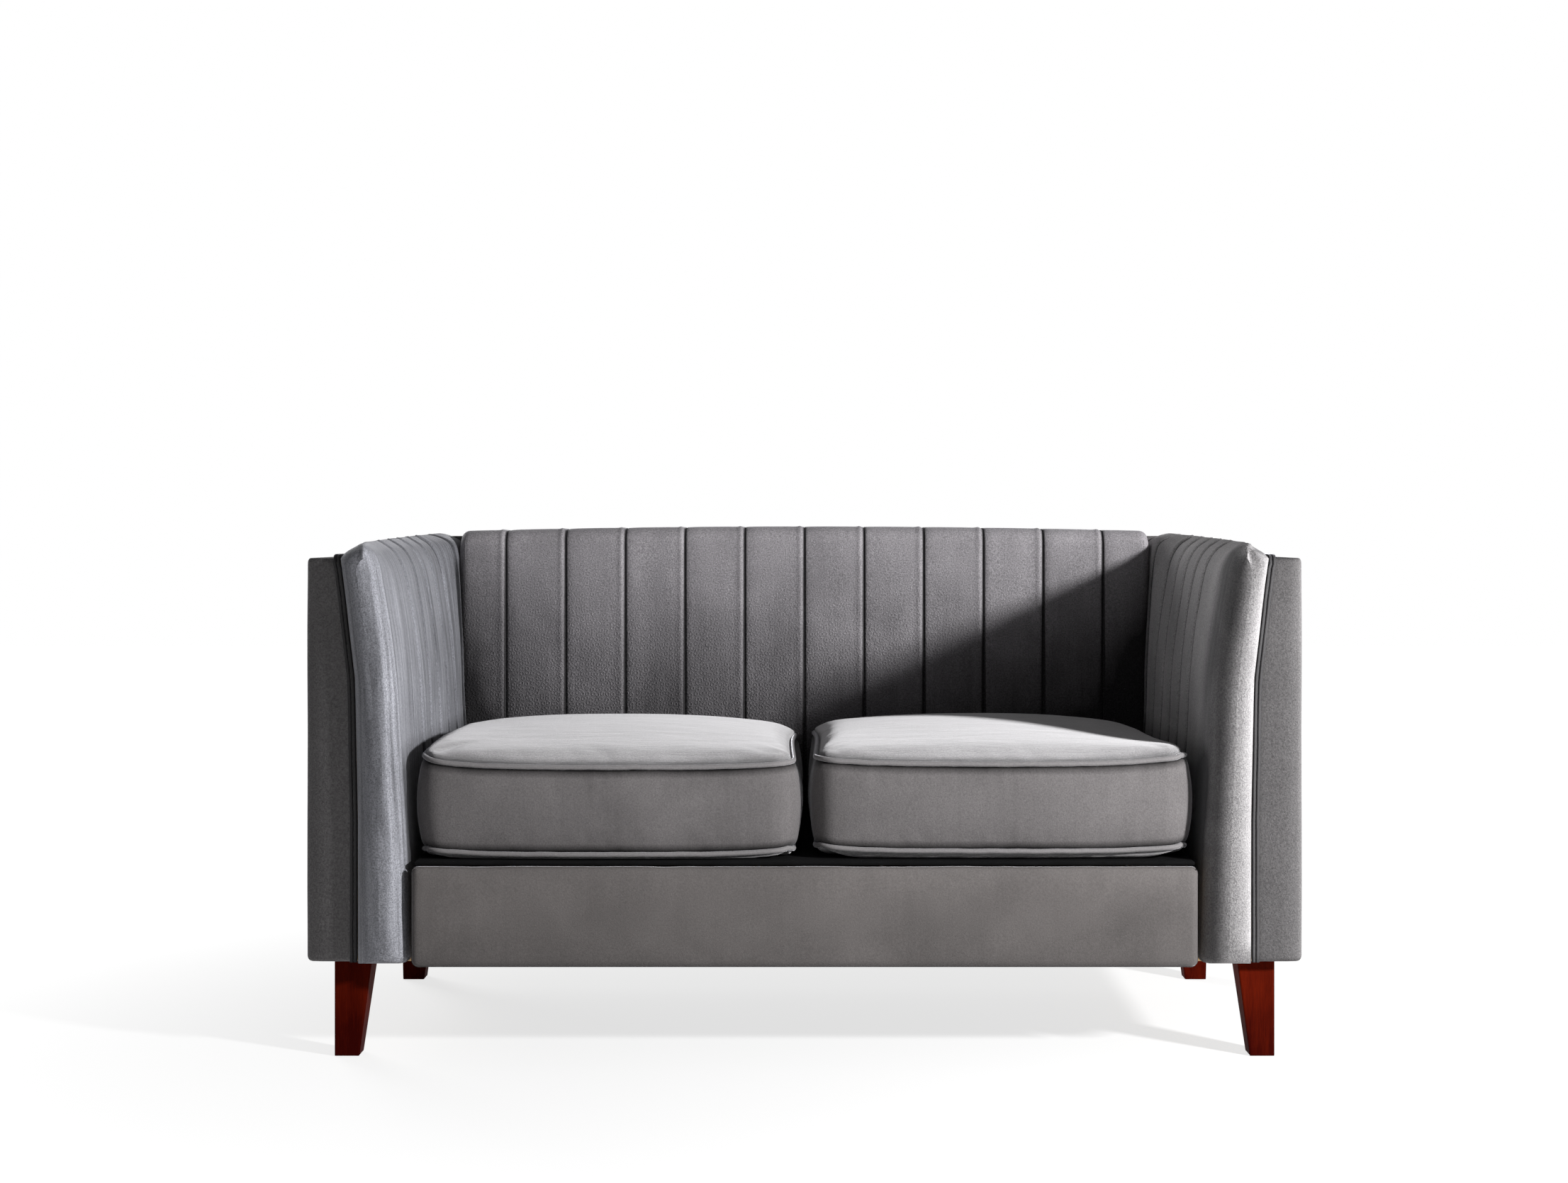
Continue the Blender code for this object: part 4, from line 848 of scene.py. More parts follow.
def arm_outline(y):
    """Across the right arm at y: up the inner face, over the ridge, and down to the welt."""
    ridge = ridge_z(y)
    fuller = np.clip(1 - (back_low.y - y) / ARM_REAR_BLEND, 0, 1)
    near_front = np.clip(1 - (y - SOFA_FRONT) / FRONT_NARROW_RUN, 0, 1)
    knots = [(PAD_INNER, FOOT + ARM_FOOT_ROUND)]
    for height, front_lean, rear_lean in ARM_INNER_SHARES:
        lean = front_lean + (rear_lean - front_lean) * fuller
        lean *= 1 - FRONT_NARROW * near_front * np.clip((height - 0.9) / 0.1, 0, 1)
        knots.append((PAD_INNER + lean * PAD_WIDTH, FOOT + height * (ridge - FOOT)))
    top_x = knots[-1][0]
    seam_top = float(seam_x(PANEL_TOP))
    for drop, run in ARM_SLOPE_SHARES:
        knots.append((top_x + run * (seam_top - top_x), PANEL_TOP + drop * (ridge - PANEL_TOP)))
    face = curve_through(knots, FACE_POINTS)
    down = np.linspace(PANEL_TOP, FOOT, OUTER_POINTS)[1:]
    outer = np.column_stack([seam_x(down), down])
    under_x = np.linspace(outer[-1, 0], PAD_INNER + ARM_FOOT_ROUND, FOOT_POINTS)[1:]
    under = np.column_stack([under_x, np.full(FOOT_POINTS - 1, FOOT)])
    turn = np.radians((67.5, 45, 22.5))
    heel = np.column_stack([
        PAD_INNER + ARM_FOOT_ROUND * (1 - np.sin(math.pi / 2 - turn)),
        FOOT + ARM_FOOT_ROUND * (1 - np.cos(math.pi / 2 - turn)),
    ])
    return np.concatenate([face, outer, under, heel])


def arm_middle(line):
    """Midway between the two faces of the arm, at the height of each point."""
    peak = int(line[:, 1].argmax())
    inner, outer = line[:peak + 1], line[peak:FACE_POINTS + OUTER_POINTS - 1]
    inner_x = np.interp(line[:, 1], inner[:, 1], inner[:, 0])
    outer_x = np.interp(line[:, 1], outer[::-1, 1], outer[::-1, 0])
    return (inner_x + outer_x) / 2


# %% Build the arm pads
ARM_STEP = 0.012
FRONT_STEPS = 20
BESIDE_CUSHION_TOP = 0.47
BESIDE_SHADE = 0.9
WELT_SHADE = 1.0
CORNER_SHADE = 0.9
CORNER_REACH = 0.035
FRONT_ZONE = -0.26
GATHER_FOLDS = 5
GATHER_REACH = 0.026
GATHER_WAY = (0.3, -0.7, 0.6)
ARM_BILLOW = 0.0012
SEAM_CLEARANCE = 0.030
STEP_BEFORE = (0.0006, 0.0003)


def arm_ring(y, sink):
    """One closed outline of the right arm, with its channels sunk and its front rounded."""
    line = arm_outline(y)
    way = outward(line)
    share = np.arange(len(line)) / FACE_POINTS
    fade = np.clip((1 - share) / 0.08, 0, 1) * np.clip(share / 0.04, 0, 1)
    line = line - way * (sink * fade)[:, None]
    into = min(1.0, (y - SOFA_FRONT) / ARM_FRONT_ROUND)
    width = (1 - (1 - into) ** ARM_FRONT_POWER) ** (1 / ARM_FRONT_POWER)
    lost = (1 - width) * PAD_WIDTH / 2
    height = ridge_z(y) - FOOT
    middle = arm_middle(line)
    kept = 1 - lost * (ARM_FOOT_SHARE + ARM_TOP_SHARE) / height
    x = middle + (line[:, 0] - middle) * width
    z = FOOT + lost * ARM_FOOT_SHARE + (line[:, 1] - FOOT) * kept
    if y > base_low.y - 0.0004:
        z = np.maximum(z, base_high.z + 0.0003)
    if y > back_low.y - 0.0004:
        x = np.maximum(x, back_high.x + 0.0003)
    return np.column_stack([x, np.full(len(line), y), z, fade, middle - x])


def gathered(points, seed):
    """Folds that fan out from the arm's front corner, where its cloth is gathered."""
    corner = np.array([PAD_INNER + 0.86 * PAD_WIDTH, SOFA_FRONT + 0.018, ridge_z(SOFA_FRONT) - 0.006])
    away = points - corner
    far = np.linalg.norm(away, axis=-1) / GATHER_REACH
    turn = np.arctan2(away[..., 2], away[..., 0])
    return far * np.exp(-(far ** 2)) * np.sin(GATHER_FOLDS * turn + seed)


def make_arm_pad(word, side, finish, seam_share, rear_shade, front_shade, gather_height):
    turns = np.linspace(0, math.pi / 2, FRONT_STEPS)
    front = [SOFA_FRONT + ARM_FRONT_ROUND * (1 - math.cos(t)) for t in turns]
    even = np.arange(SOFA_FRONT + ARM_FRONT_ROUND, arm_high.y, ARM_STEP)
    clear = [y for y in even if np.abs(ARM_SEAMS - y).min() > SEAM_CLEARANCE]
    steps = [edge - before for edge in (base_low.y, back_low.y) for before in STEP_BEFORE]
    stations = places_beside(ARM_SEAMS, SOFA_FRONT, arm_high.y, [*front, *clear, *steps])
    gap = from_seam(stations, ARM_SEAMS)
    drop = channel_drop(gap, ARM_SEAM_PITCH / 2, spare_side=1)
    drop = drop * np.clip((back_low.y - stations) / 0.01, 0, 1)
    drop = drop * np.clip((stations - SOFA_FRONT - ARM_FRONT_ROUND) / 0.03, 0, 1)
    rings = np.array([arm_ring(y, sink) for y, sink in zip(stations, drop)])
    points, fade, inwards = rings[..., :3], rings[..., 3], rings[..., 4]
    flat = points.reshape(-1, 3)
    near = np.exp(-np.abs(gap) / PUCKER_REACH)[:, None] * np.ones_like(fade)
    seed = 11 if side > 0 else 17
    puckers = wobble(flat * (1, 0.5, 1), PUCKER_LENGTH, seed).reshape(fade.shape) * near * PUCKER_HEIGHT
    billow = wobble(flat * (1, 1, 0.4), 0.06, seed + 2).reshape(fade.shape) * ARM_BILLOW
    points[..., 0] -= (puckers + billow) * fade
    points += gather_height * gathered(points, seed)[..., None] * GATHER_WAY
    length = np.cumsum(np.linalg.norm(np.diff(points, axis=1, prepend=points[:, :1]), axis=2), axis=1)
    cloth = np.stack([points[..., 1], length], axis=-1)
    points[..., 0] *= side
    index = np.arange(fade.size).reshape(fade.shape)
    faces = grid_faces(index, wrap=True) + [index[-1][::-1].tolist()]
    # The seam mark gets painted shade beside the cushion, beside the welt, in the rear corner by the back,
    # on the inner half of the front roll, and a share that grows towards the rear.
    beside = np.clip((BESIDE_CUSHION_TOP - points[..., 2]) / 0.05, 0, 1)
    beside = beside * np.clip((points[..., 1] - SOFA_FRONT - 0.026) / 0.02, 0, 1)
    corner = np.clip((points[..., 1] - back_low.y) / CORNER_REACH + 1, 0, 1)
    corner = corner * np.clip((PANEL_TOP - points[..., 2]) / 0.05, 0, 1)
    on_front = np.clip(inwards / 0.02, 0, 1) * np.clip((FRONT_ZONE - points[..., 1]) / 0.06, 0, 1)
    outer = np.arange(fade.shape[1]) >= FACE_POINTS - 2
    beside_welt = np.clip((points[..., 1] - welt_low.y + 0.007) / 0.004, 0, 1) * outer
    depth = (points[..., 1] - SOFA_FRONT) / (SOFA_REAR - SOFA_FRONT)
    seam_and_shade = seam_mark(gap)[:, None] * fade * seam_share + beside * BESIDE_SHADE
    seam_and_shade += beside_welt * WELT_SHADE + depth * rear_shade + corner * CORNER_SHADE + on_front * front_shade
    name = f"arm_pad_velvet_{word}"
    mesh = tidy_mesh(make_mesh(name, points.reshape(-1, 3), faces, cloth, seam_and_shade))
    return add_piece(name, mesh, finish, "frame", (f"arm_pad_{word}",))


SIDES = {"left": -1, "right": 1}
# Each arm's looks: its velvet, the share of the seam mark, the painted shade towards the rear (below 0 it is
# painted light), the painted shade on the front roll, and the height of the gathered folds.
ARM_LOOKS = {
    "left": (LEFT_ARM_VELVET, 0.25, 0.5, 0.0, 0.002),
    "right": (RIGHT_ARM_VELVET, 1.0, -0.1, 0.7, 0.009),
}
for word, side in SIDES.items():
    pad = make_arm_pad(word, side, *ARM_LOOKS[word])
    print(pad.name, len(pad.data.polygons), "faces")

# %% [markdown]
# ## Panels of the arms and the back
# The outside of each arm and the whole rear are flat, lightly padded panels. Each starts
# as a block whose faces are grids. A point near an edge is pulled onto a rounded edge, and
# a small function then bends the block to its outline. An open side shows that the cloth
# is only a skin, which a Solidify modifier gives its thickness. The arm's panel laps a
# little over the double welt, so that no gap shows between them.

# %% A block with rounded edges
def edge_steps(low, high, radius, step):
    """Places from low to high, closer together within a radius of each end."""
    turn = np.linspace(0, math.pi / 2, 5)
    ends = radius * (1 - np.cos(turn))
    inner = np.linspace(low + radius, high - radius, max(2, round((high - low - 2 * radius) / step)))
    return np.concatenate([low + ends[:-1], inner, high - ends[:-1][::-1]])


def block_skin(low, high, radius, step, open_sides=(), shape=None):
    """A rounded block's faces as one mesh: its points, faces and cloth coordinates."""
    low, high = np.array(low), np.array(high)
    steps = [edge_steps(low[axis], high[axis], radius, step) for axis in range(3)]
    points, faces, cloth = [], [], []
    for axis in range(3):
        across, along = [other for other in range(3) if other != axis]
        grid_a, grid_b = np.meshgrid(steps[across], steps[along], indexing="ij")
        for side, level in ((-1, low[axis]), (1, high[axis])):
            if (axis, side) in open_sides:
                continue
            places = np.empty(grid_a.shape + (3,))
            places[..., across], places[..., along], places[..., axis] = grid_a, grid_b, level
            index = np.arange(grid_a.size).reshape(grid_a.shape) + sum(len(part) for part in points)
            faces += grid_faces(index)
            points.append(places.reshape(-1, 3))
            cloth.append(np.column_stack([grid_a.ravel(), grid_b.ravel()]))
    points, cloth = np.concatenate(points), np.concatenate(cloth)
    keep_low = np.where([(axis, -1) in open_sides for axis in range(3)], 0, radius)
    keep_high = np.where([(axis, 1) in open_sides for axis in range(3)], 0, radius)
    core = np.clip(points, low + keep_low, high - keep_high)
    away = points - core
    length = np.linalg.norm(away, axis=1, keepdims=True)
    points = core + away / np.maximum(length, 1e-9) * np.minimum(length, radius)
    if shape:
        points = shape(points)
    return points, faces, cloth


def apply_modifiers(mesh, *settings):
    """Run modifiers on a mesh and keep only their result."""
    carrier = bpy.data.objects.new("carrier", mesh)
    bpy.context.scene.collection.objects.link(carrier)
    for kind, values in settings:
        modifier = carrier.modifiers.new(kind, kind)
        for name, value in values.items():
            setattr(modifier, name, value)
    view = bpy.context.evaluated_depsgraph_get()
    result = bpy.data.meshes.new_from_object(carrier.evaluated_get(view))
    bpy.data.objects.remove(carrier)
    result.name = mesh.name
    result.shade_smooth()
    return result


def thickened(skin, wall):
    """Give an open skin of cloth its thickness, inwards."""
    inwards = {"thickness": wall, "offset": -1, "use_even_offset": False}
    return apply_modifiers(skin, ("SOLIDIFY", inwards))


# %% Build the outer arm panels
WELT_WIDTH = 0.0118
WELT_OVERLAP = 0.0016
PANEL_ROUND = 0.008
PANEL_STEP = 0.009
PANEL_WALL = 0.0055
PANEL_PADDING = 0.0022
PANEL_EDGE_ROLL = 0.008


def make_outer_panel(word, side):
    low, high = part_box(f"arm_outer_panel_{word}")
    wide = (min(abs(low.x), abs(high.x)), max(abs(low.x), abs(high.x)))

    def shape(points):
        inner = seam_x(points[:, 2]) + WELT_WIDTH - WELT_OVERLAP
        share = (points[:, 0] - wide[0]) / (wide[1] - wide[0])
        points[:, 0] = inner + share * (wide[1] - inner)
        rise = np.clip((points[:, 2] - low.z) / (high.z - low.z), 0, 1)
        run = np.clip((points[:, 1] - low.y) / (high.y - low.y), 0, 1)
        padding = PANEL_PADDING * (16 * rise * (1 - rise) * run * (1 - run)) ** 0.5
        padding = padding + wobble(points, 0.16, 23) * 0.0006
        points[:, 0] += padding * np.clip(share, 0, 1) ** 6
        front = np.clip(1 - (points[:, 1] - low.y) / 0.02, 0, 1)
        points[:, 1] += PANEL_EDGE_ROLL * np.clip((share - 0.6) / 0.4, 0, 1) ** 2 * front
        points[:, 0] *= side
        return points

    points, faces, cloth = block_skin(
        (wide[0], low.y, low.z), (wide[1], high.y, high.z), PANEL_ROUND, PANEL_STEP, ((0, -1),), shape
    )
    name = f"outer_panel_velvet_{word}"
    skin = tidy_mesh(make_mesh(name, points, faces, cloth))
    mesh = thickened(skin, PANEL_WALL)
    return add_piece(name, mesh, PANEL_VELVET, "frame", (f"arm_outer_panel_{word}",))


for word, side in SIDES.items():
    panel = make_outer_panel(word, side)
    print(panel.name, len(panel.data.polygons), "faces")

# %% Build the rear panel
REAR_EDGE = 0.0022
REAR_STEP = 0.02
REAR_PADDING = 0.0016
CREST_DROP = 0.014
CREST_END = 0.591
SHOULDER_HEIGHT = 0.772
CORNER_KNOTS = [(0.700, 0.7405), (0.7347, 0.7395)]


def make_rear_panel():
    low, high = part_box("back_outer_cover")
    arm_ridge_x = PAD_INNER + ARM_INNER_SHARES[-1][-1] * PAD_WIDTH
    crest_x = np.linspace(0, CREST_END, 12)
    top = [(x, back_high.z - BACK_TOP_DIP * (x / back_high.x) ** 2 - CREST_DROP) for x in crest_x]
    top += [(back_high.x, SHOULDER_HEIGHT), (arm_ridge_x, SHOULDER_HEIGHT), *CORNER_KNOTS]
    top_x, top_z = np.array(top).T

    def shape(points):
        crest = np.interp(np.abs(points[:, 0]), top_x, top_z)
        points[:, 2] = low.z + (points[:, 2] - low.z) * (crest - low.z) / (high.z - low.z)
        rise = np.clip((points[:, 2] - low.z) / (crest - low.z), 0, 1)
        run = np.clip(np.abs(points[:, 0]) / high.x, 0, 1)
        outer = points[:, 1] > (low.y + high.y) / 2
        padding = REAR_PADDING * (4 * rise * (1 - rise)) ** 0.5 * (1 - run ** 6)
        padding = padding + wobble(points, 0.14, 31) * 0.0006
        points[:, 1] += np.where(outer, padding, 0)
        return points

    points, faces, cloth = block_skin(tuple(low), tuple(high), REAR_EDGE, REAR_STEP, (), shape)
    mesh = tidy_mesh(make_mesh("rear_panel_velvet", points, faces, cloth))
    return add_piece("rear_panel_velvet", mesh, PANEL_VELVET, "frame", ("back_outer_cover",))


rear_panel = make_rear_panel()
print(rear_panel.name, len(rear_panel.data.polygons), "faces")

# %% [markdown]
# ## Front rail
# The front rail is padded and covered with one piece of velvet, pulled over the top and
# under the bottom and stapled behind. At its ends the cloth is folded in, so it puckers a
# little there. The skin has an open rear and a Solidify modifier, like the arm panels.

# %% Build the rail's cover
RAIL_ROUND = 0.011
RAIL_TOP_DROP = 0.003
RAIL_STEP = 0.0085
RAIL_RETURN = 0.013
RAIL_BELLY = 0.0035
RAIL_PUCKER = 0.0020
RAIL_WALL = 0.003


def make_rail_cover():
    low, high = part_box("front_rail_cover")

    def shape(points):
        on_top = points[:, 2] > high.z - 0.004
        depth = points[:, 1] - low.y
        points[:, 1] = low.y + np.where(on_top, depth * RAIL_RETURN / (high.y - low.y), depth)
        rise = np.clip((points[:, 2] - low.z) / (high.z - low.z), 0, 1)
        ends = np.clip((high.x - np.abs(points[:, 0])) / 0.09, 0, 1)
        front = np.clip(1 - depth / 0.008, 0, 1)
        belly = RAIL_BELLY * (4 * rise * (1 - rise)) ** 0.6 * (0.35 + 0.65 * ends)
        folds = wobble(points * (1, 1, 0.35), 0.016, 41) * RAIL_PUCKER * (1 - ends) ** 2
        waves = wobble(points * (1, 1, 0.8), 0.11, 43) * 0.0009
        points[:, 1] -= (belly + folds + waves) * front
        points[:, 2] -= RAIL_TOP_DROP * np.clip((rise - 0.8) / 0.2, 0, 1)
        points[:, 2] += wobble(points * (1, 0, 0), 0.07, 47) * 0.0008 * (rise > 0.9) * ends
        return points

    points, faces, cloth = block_skin(tuple(low), tuple(high), RAIL_ROUND, RAIL_STEP, ((1, 1),), shape)
    skin = tidy_mesh(make_mesh("front_rail_velvet", points, faces, cloth))
    mesh = thickened(skin, RAIL_WALL)
    nodes = ("front_rail_cover",)
    return add_piece("front_rail_velvet", mesh, RAIL_VELVET, "frame", nodes)


rail_cover = make_rail_cover()
print(rail_cover.name, len(rail_cover.data.polygons), "faces")

# %% [markdown]
# ## Welts
# A welt is a cord wrapped in cloth and sewn into a seam. The arms have a double welt, two
# cords side by side, glued over the joint between pad and panel. A Geometry Nodes tree
# sweeps a circle along any number of paths, so one tree makes every welt of the sofa. Its
# inputs are the cord's radius and how many sides the circle has.

# %% Make the welt tree
def cord_tree(material):
    """Geometry Nodes that turn the edges of a mesh into round cords."""
    tree = bpy.data.node_groups.new(f"cord_{material.name}", "GeometryNodeTree")
    tree.interface.new_socket("Paths", in_out="INPUT", socket_type="NodeSocketGeometry")
    radius = tree.interface.new_socket("Cord radius", in_out="INPUT", socket_type="NodeSocketFloat")
    sides = tree.interface.new_socket("Sides", in_out="INPUT", socket_type="NodeSocketInt")
    tree.interface.new_socket("Cords", in_out="OUTPUT", socket_type="NodeSocketGeometry")
    wire = Wire(tree)
    paths = wire.node("NodeGroupInput", output=0)
    size = wire.node("NodeGroupInput", output=1)
    count = wire.node("NodeGroupInput", output=2)
    curve = wire.node("GeometryNodeMeshToCurve", inputs={"Mesh": paths})
    profile = {"Resolution": count, "Radius": size}
    circle = wire.node("GeometryNodeCurvePrimitiveCircle", {"mode": "RADIUS"}, profile)
    swept = wire.node(
        "GeometryNodeCurveToMesh", inputs={"Curve": curve, "Profile Curve": circle, "Fill Caps": True}
    )
    real = wire.node("GeometryNodeRealizeInstances", inputs={"Geometry": swept})
    smooth = wire.node("GeometryNodeSetShadeSmooth", inputs={"Geometry": real, "Shade Smooth": True})
    done = wire.node("GeometryNodeSetMaterial", inputs={"Geometry": smooth, "Material": material})
    wire.node("NodeGroupOutput", inputs={0: done})
    return tree, radius.identifier, sides.identifier


def from_nodes(name, points, edges, tree, values):
    """Run a node tree on a mesh of paths, and keep the result as a plain mesh."""
    path_mesh = bpy.data.meshes.new(f"{name}_path")
    path_mesh.from_pydata(points, edges, [])
    carrier = bpy.data.objects.new(f"{name}_path", path_mesh)
    bpy.context.scene.collection.objects.link(carrier)
    modifier = carrier.modifiers.new("nodes", "NODES")
    modifier.node_group = tree
    for identifier, value in values.items():
        modifier[identifier] = value
    view = bpy.context.evaluated_depsgraph_get()
    mesh = bpy.data.meshes.new_from_object(carrier.evaluated_get(view))
    bpy.data.objects.remove(carrier)
    mesh.name = name
    shape = bmesh.new()
    shape.from_mesh(mesh)
    face_outwards(shape)
    shape.to_mesh(mesh)
    shape.free()
    return mesh


def make_cords(name, paths, tree_parts, radius, sides, closed):
    """Sweep one cord along each path and return the plain mesh."""
    tree, radius_input, sides_input = tree_parts
    points, edges = [], []
    for path in paths:
        start = len(points)
        points += [tuple(point) for point in path]
        count = len(path)
        edges += [(start + i, start + (i + 1) % count) for i in range(count if closed else count - 1)]
    return from_nodes(name, points, edges, tree, {radius_input: radius, sides_input: sides})


WELT_TREE = cord_tree(WELT_VELVET)
DOUBLE_WELT_TREE = cord_tree(DOUBLE_WELT_VELVET)

# %% Build the double welts
CORD_RADIUS = 0.0029
CORD_SIDES = 12
DOUBLE_WELT_BEND = 0.012
CORD_STEP = 0.010
CREVICE_SHADE = 1.6


def make_double_welt(word, side):
    front_y = welt_low.y + CORD_RADIUS
    top_z = welt_high.z - CORD_RADIUS
    up = [(z, front_y, z) for z in np.arange(welt_low.z + 0.0005, top_z - DOUBLE_WELT_BEND, CORD_STEP)]
    bend = []
    for turn in np.linspace(0, math.pi / 2, 7):
        back_by, down_by = 1 - math.cos(turn), 1 - math.sin(turn)
        bend.append((PANEL_TOP, front_y + DOUBLE_WELT_BEND * back_by, top_z - DOUBLE_WELT_BEND * down_by))
    back = [(PANEL_TOP, y, top_z) for y in np.arange(bend[-1][1] + CORD_STEP, welt_high.y, CORD_STEP)]
    back.append((PANEL_TOP, welt_high.y, top_z))
    line = np.array(up + bend + back)
    middle = seam_x(line[:, 0]) + WELT_WIDTH / 2
    paths = []
    for across in (-1, 1):
        place = np.column_stack([middle + across * CORD_RADIUS, line[:, 1], line[:, 2]])
        place += wobble(place, 0.03, 53)[:, None] * (0.0005, 0.0003, 0.0)
        place[:, 0] *= side
        paths.append(place)
    name = f"double_welt_{word}_velvet"
    mesh = make_cords(name, paths, DOUBLE_WELT_TREE, CORD_RADIUS, CORD_SIDES, closed=False)
    # The cords get painted shade where they face away from the front and from above, in the crevices between
    # them and beside the pad and the panel.
    normals = np.array([vertex.normal for vertex in mesh.vertices])
    facing = np.maximum(-normals[:, 1], normals[:, 2])
    crevice = np.clip(1 - facing, 0, 1) * CREVICE_SHADE
    mesh.attributes.new("seam", "FLOAT", "POINT").data.foreach_set("value", crevice.astype(np.float32))
    return add_piece(name, mesh, DOUBLE_WELT_VELVET, "frame", (f"arm_double_welt_{word}",))


for word, side in SIDES.items():
    welt = make_double_welt(word, side)
    print(welt.name, len(welt.data.polygons), "faces")

# %% [markdown]
# ## Seat cushions
# A box cushion has a top and a bottom panel and a border between them, joined by two
# welts. The foam inside pushes every panel outwards, while the seams hold still. That is
# what a cloth simulation does well: the cover starts a little small, its seam lines are
# pinned, and air pressure swells the rest. How far a point may move is capped, so that the
# result stays near the model. Towards the rear the moves are averaged with those beside
# them, which softens the folds that the simulation leaves there.

# %% The cushion from above
CUSHION_HALF = np.array([0.2776, 0.318])
CUSHION_MIDDLE_X = 0.2906
CUSHION_MIDDLE_Y = -0.033
CUSHION_CORNER = 0.036
FRONT_BOW = 0.012
SIDE_DRAW = 0.005
CELL = 0.0085


def cushion_plan(square):
    """Map points of the square from -1 to 1 onto the cushion's rounded outline."""
    reach = np.abs(square).max(axis=-1, keepdims=True)
    edge = square / np.maximum(reach, 1e-9) * CUSHION_HALF
    core = np.clip(edge, CUSHION_CORNER - CUSHION_HALF, CUSHION_HALF - CUSHION_CORNER)
    away = edge - core
    rounded = core + away / np.maximum(np.linalg.norm(away, axis=-1, keepdims=True), 1e-9) * CUSHION_CORNER
    place = square * CUSHION_HALF + (rounded - edge) * reach ** 7
    u, v = square[..., 0], square[..., 1]
    place[..., 1] -= FRONT_BOW * np.cos(u * math.pi / 2).clip(0) * np.clip(-v, 0, 1) ** 3
    place[..., 0] -= SIDE_DRAW * np.cos(v * math.pi / 2).clip(0) * u ** 3
    return place


def square_rim(count_x, count_y):
    """The square's border points in order, starting at its front left corner."""
    u, v = np.linspace(-1, 1, count_x + 1), np.linspace(-1, 1, count_y + 1)
    front = [(a, -1) for a in u[:-1]]
    right = [(1, b) for b in v[:-1]]
    rear = [(a, 1) for a in u[::-1][:-1]]
    left = [(-1, b) for b in v[::-1][:-1]]
    return np.array(front + right + rear + left)


# %% [markdown]
# The top seam of a used cushion isn't level. The crowned foam lifts it along the two sides
# and at the front corners, and lets it hang in the middle of the front. The bottom seam
# curls up at the corners. The two cushions differ: the left one stands higher beside its
# arm, and the right one's bottom seam sits higher. These heights are small formulas on the
# square, so that the panels, the border and the welts all share them.

# %% How high the seams run
LEFT_RISES = ((-1, 0.011), (-0.8, 0.018), (-0.5, 0.022), (0, 0.018), (0.5, 0.006), (1, -0.008))
RIGHT_RISES = ((-1, 0.011), (-0.8, 0.009), (-0.5, 0.005), (0, 0.001), (0.5, -0.006), (1, -0.014))
INNER_RISES = ((-1, 0.006), (-0.5, 0.010), (0, 0.008), (0.5, 0.001), (1, -0.008))
FRONT_CORNER_POWER = 4
BOTTOM_CORNER_RISE = 0.007
BOTTOM_CORNER_POWER = 5
RIGHT_BOTTOM_RISE = 0.005


def top_seam_rise(side, u, v):
    """How far the top seam stands above its lowest place, in the middle of the front."""
    outer = table(LEFT_RISES if side < 0 else RIGHT_RISES, v)
    rise = np.where(side * u > 0, outer, table(INNER_RISES, v))
    return rise * np.abs(u) ** FRONT_CORNER_POWER


def bottom_seam_rise(side, u, v):
    """How far the bottom seam stands above its lowest place. The right one sits higher."""
    corner = BOTTOM_CORNER_RISE * (np.abs(u) * np.abs(v)) ** BOTTOM_CORNER_POWER
    return corner + RIGHT_BOTTOM_RISE * (side > 0)


# %% Build the cover before it is filled
BOX_BULGE = 0.0085
INNER_BULGE_SHARE = 0.35
WELT_DEPTH = 0.007
WELT_HALF = 0.0065
BORDER_ROWS = 14
LOW_SEAM = cushion_low.z + 0.008
TOP_SEAM = cushion_low.z + 0.138
CROWN = 0.025
CROWN_STEEPNESS = 2.2
LEFT_OUTER_STEEPNESS = 3.0
SEAM_ROW_SHADE = 0.35
BESIDE_SEAM_SHADE = 0.4
SEAM_PUFF = 0.013
PUFF_RUN = 0.016


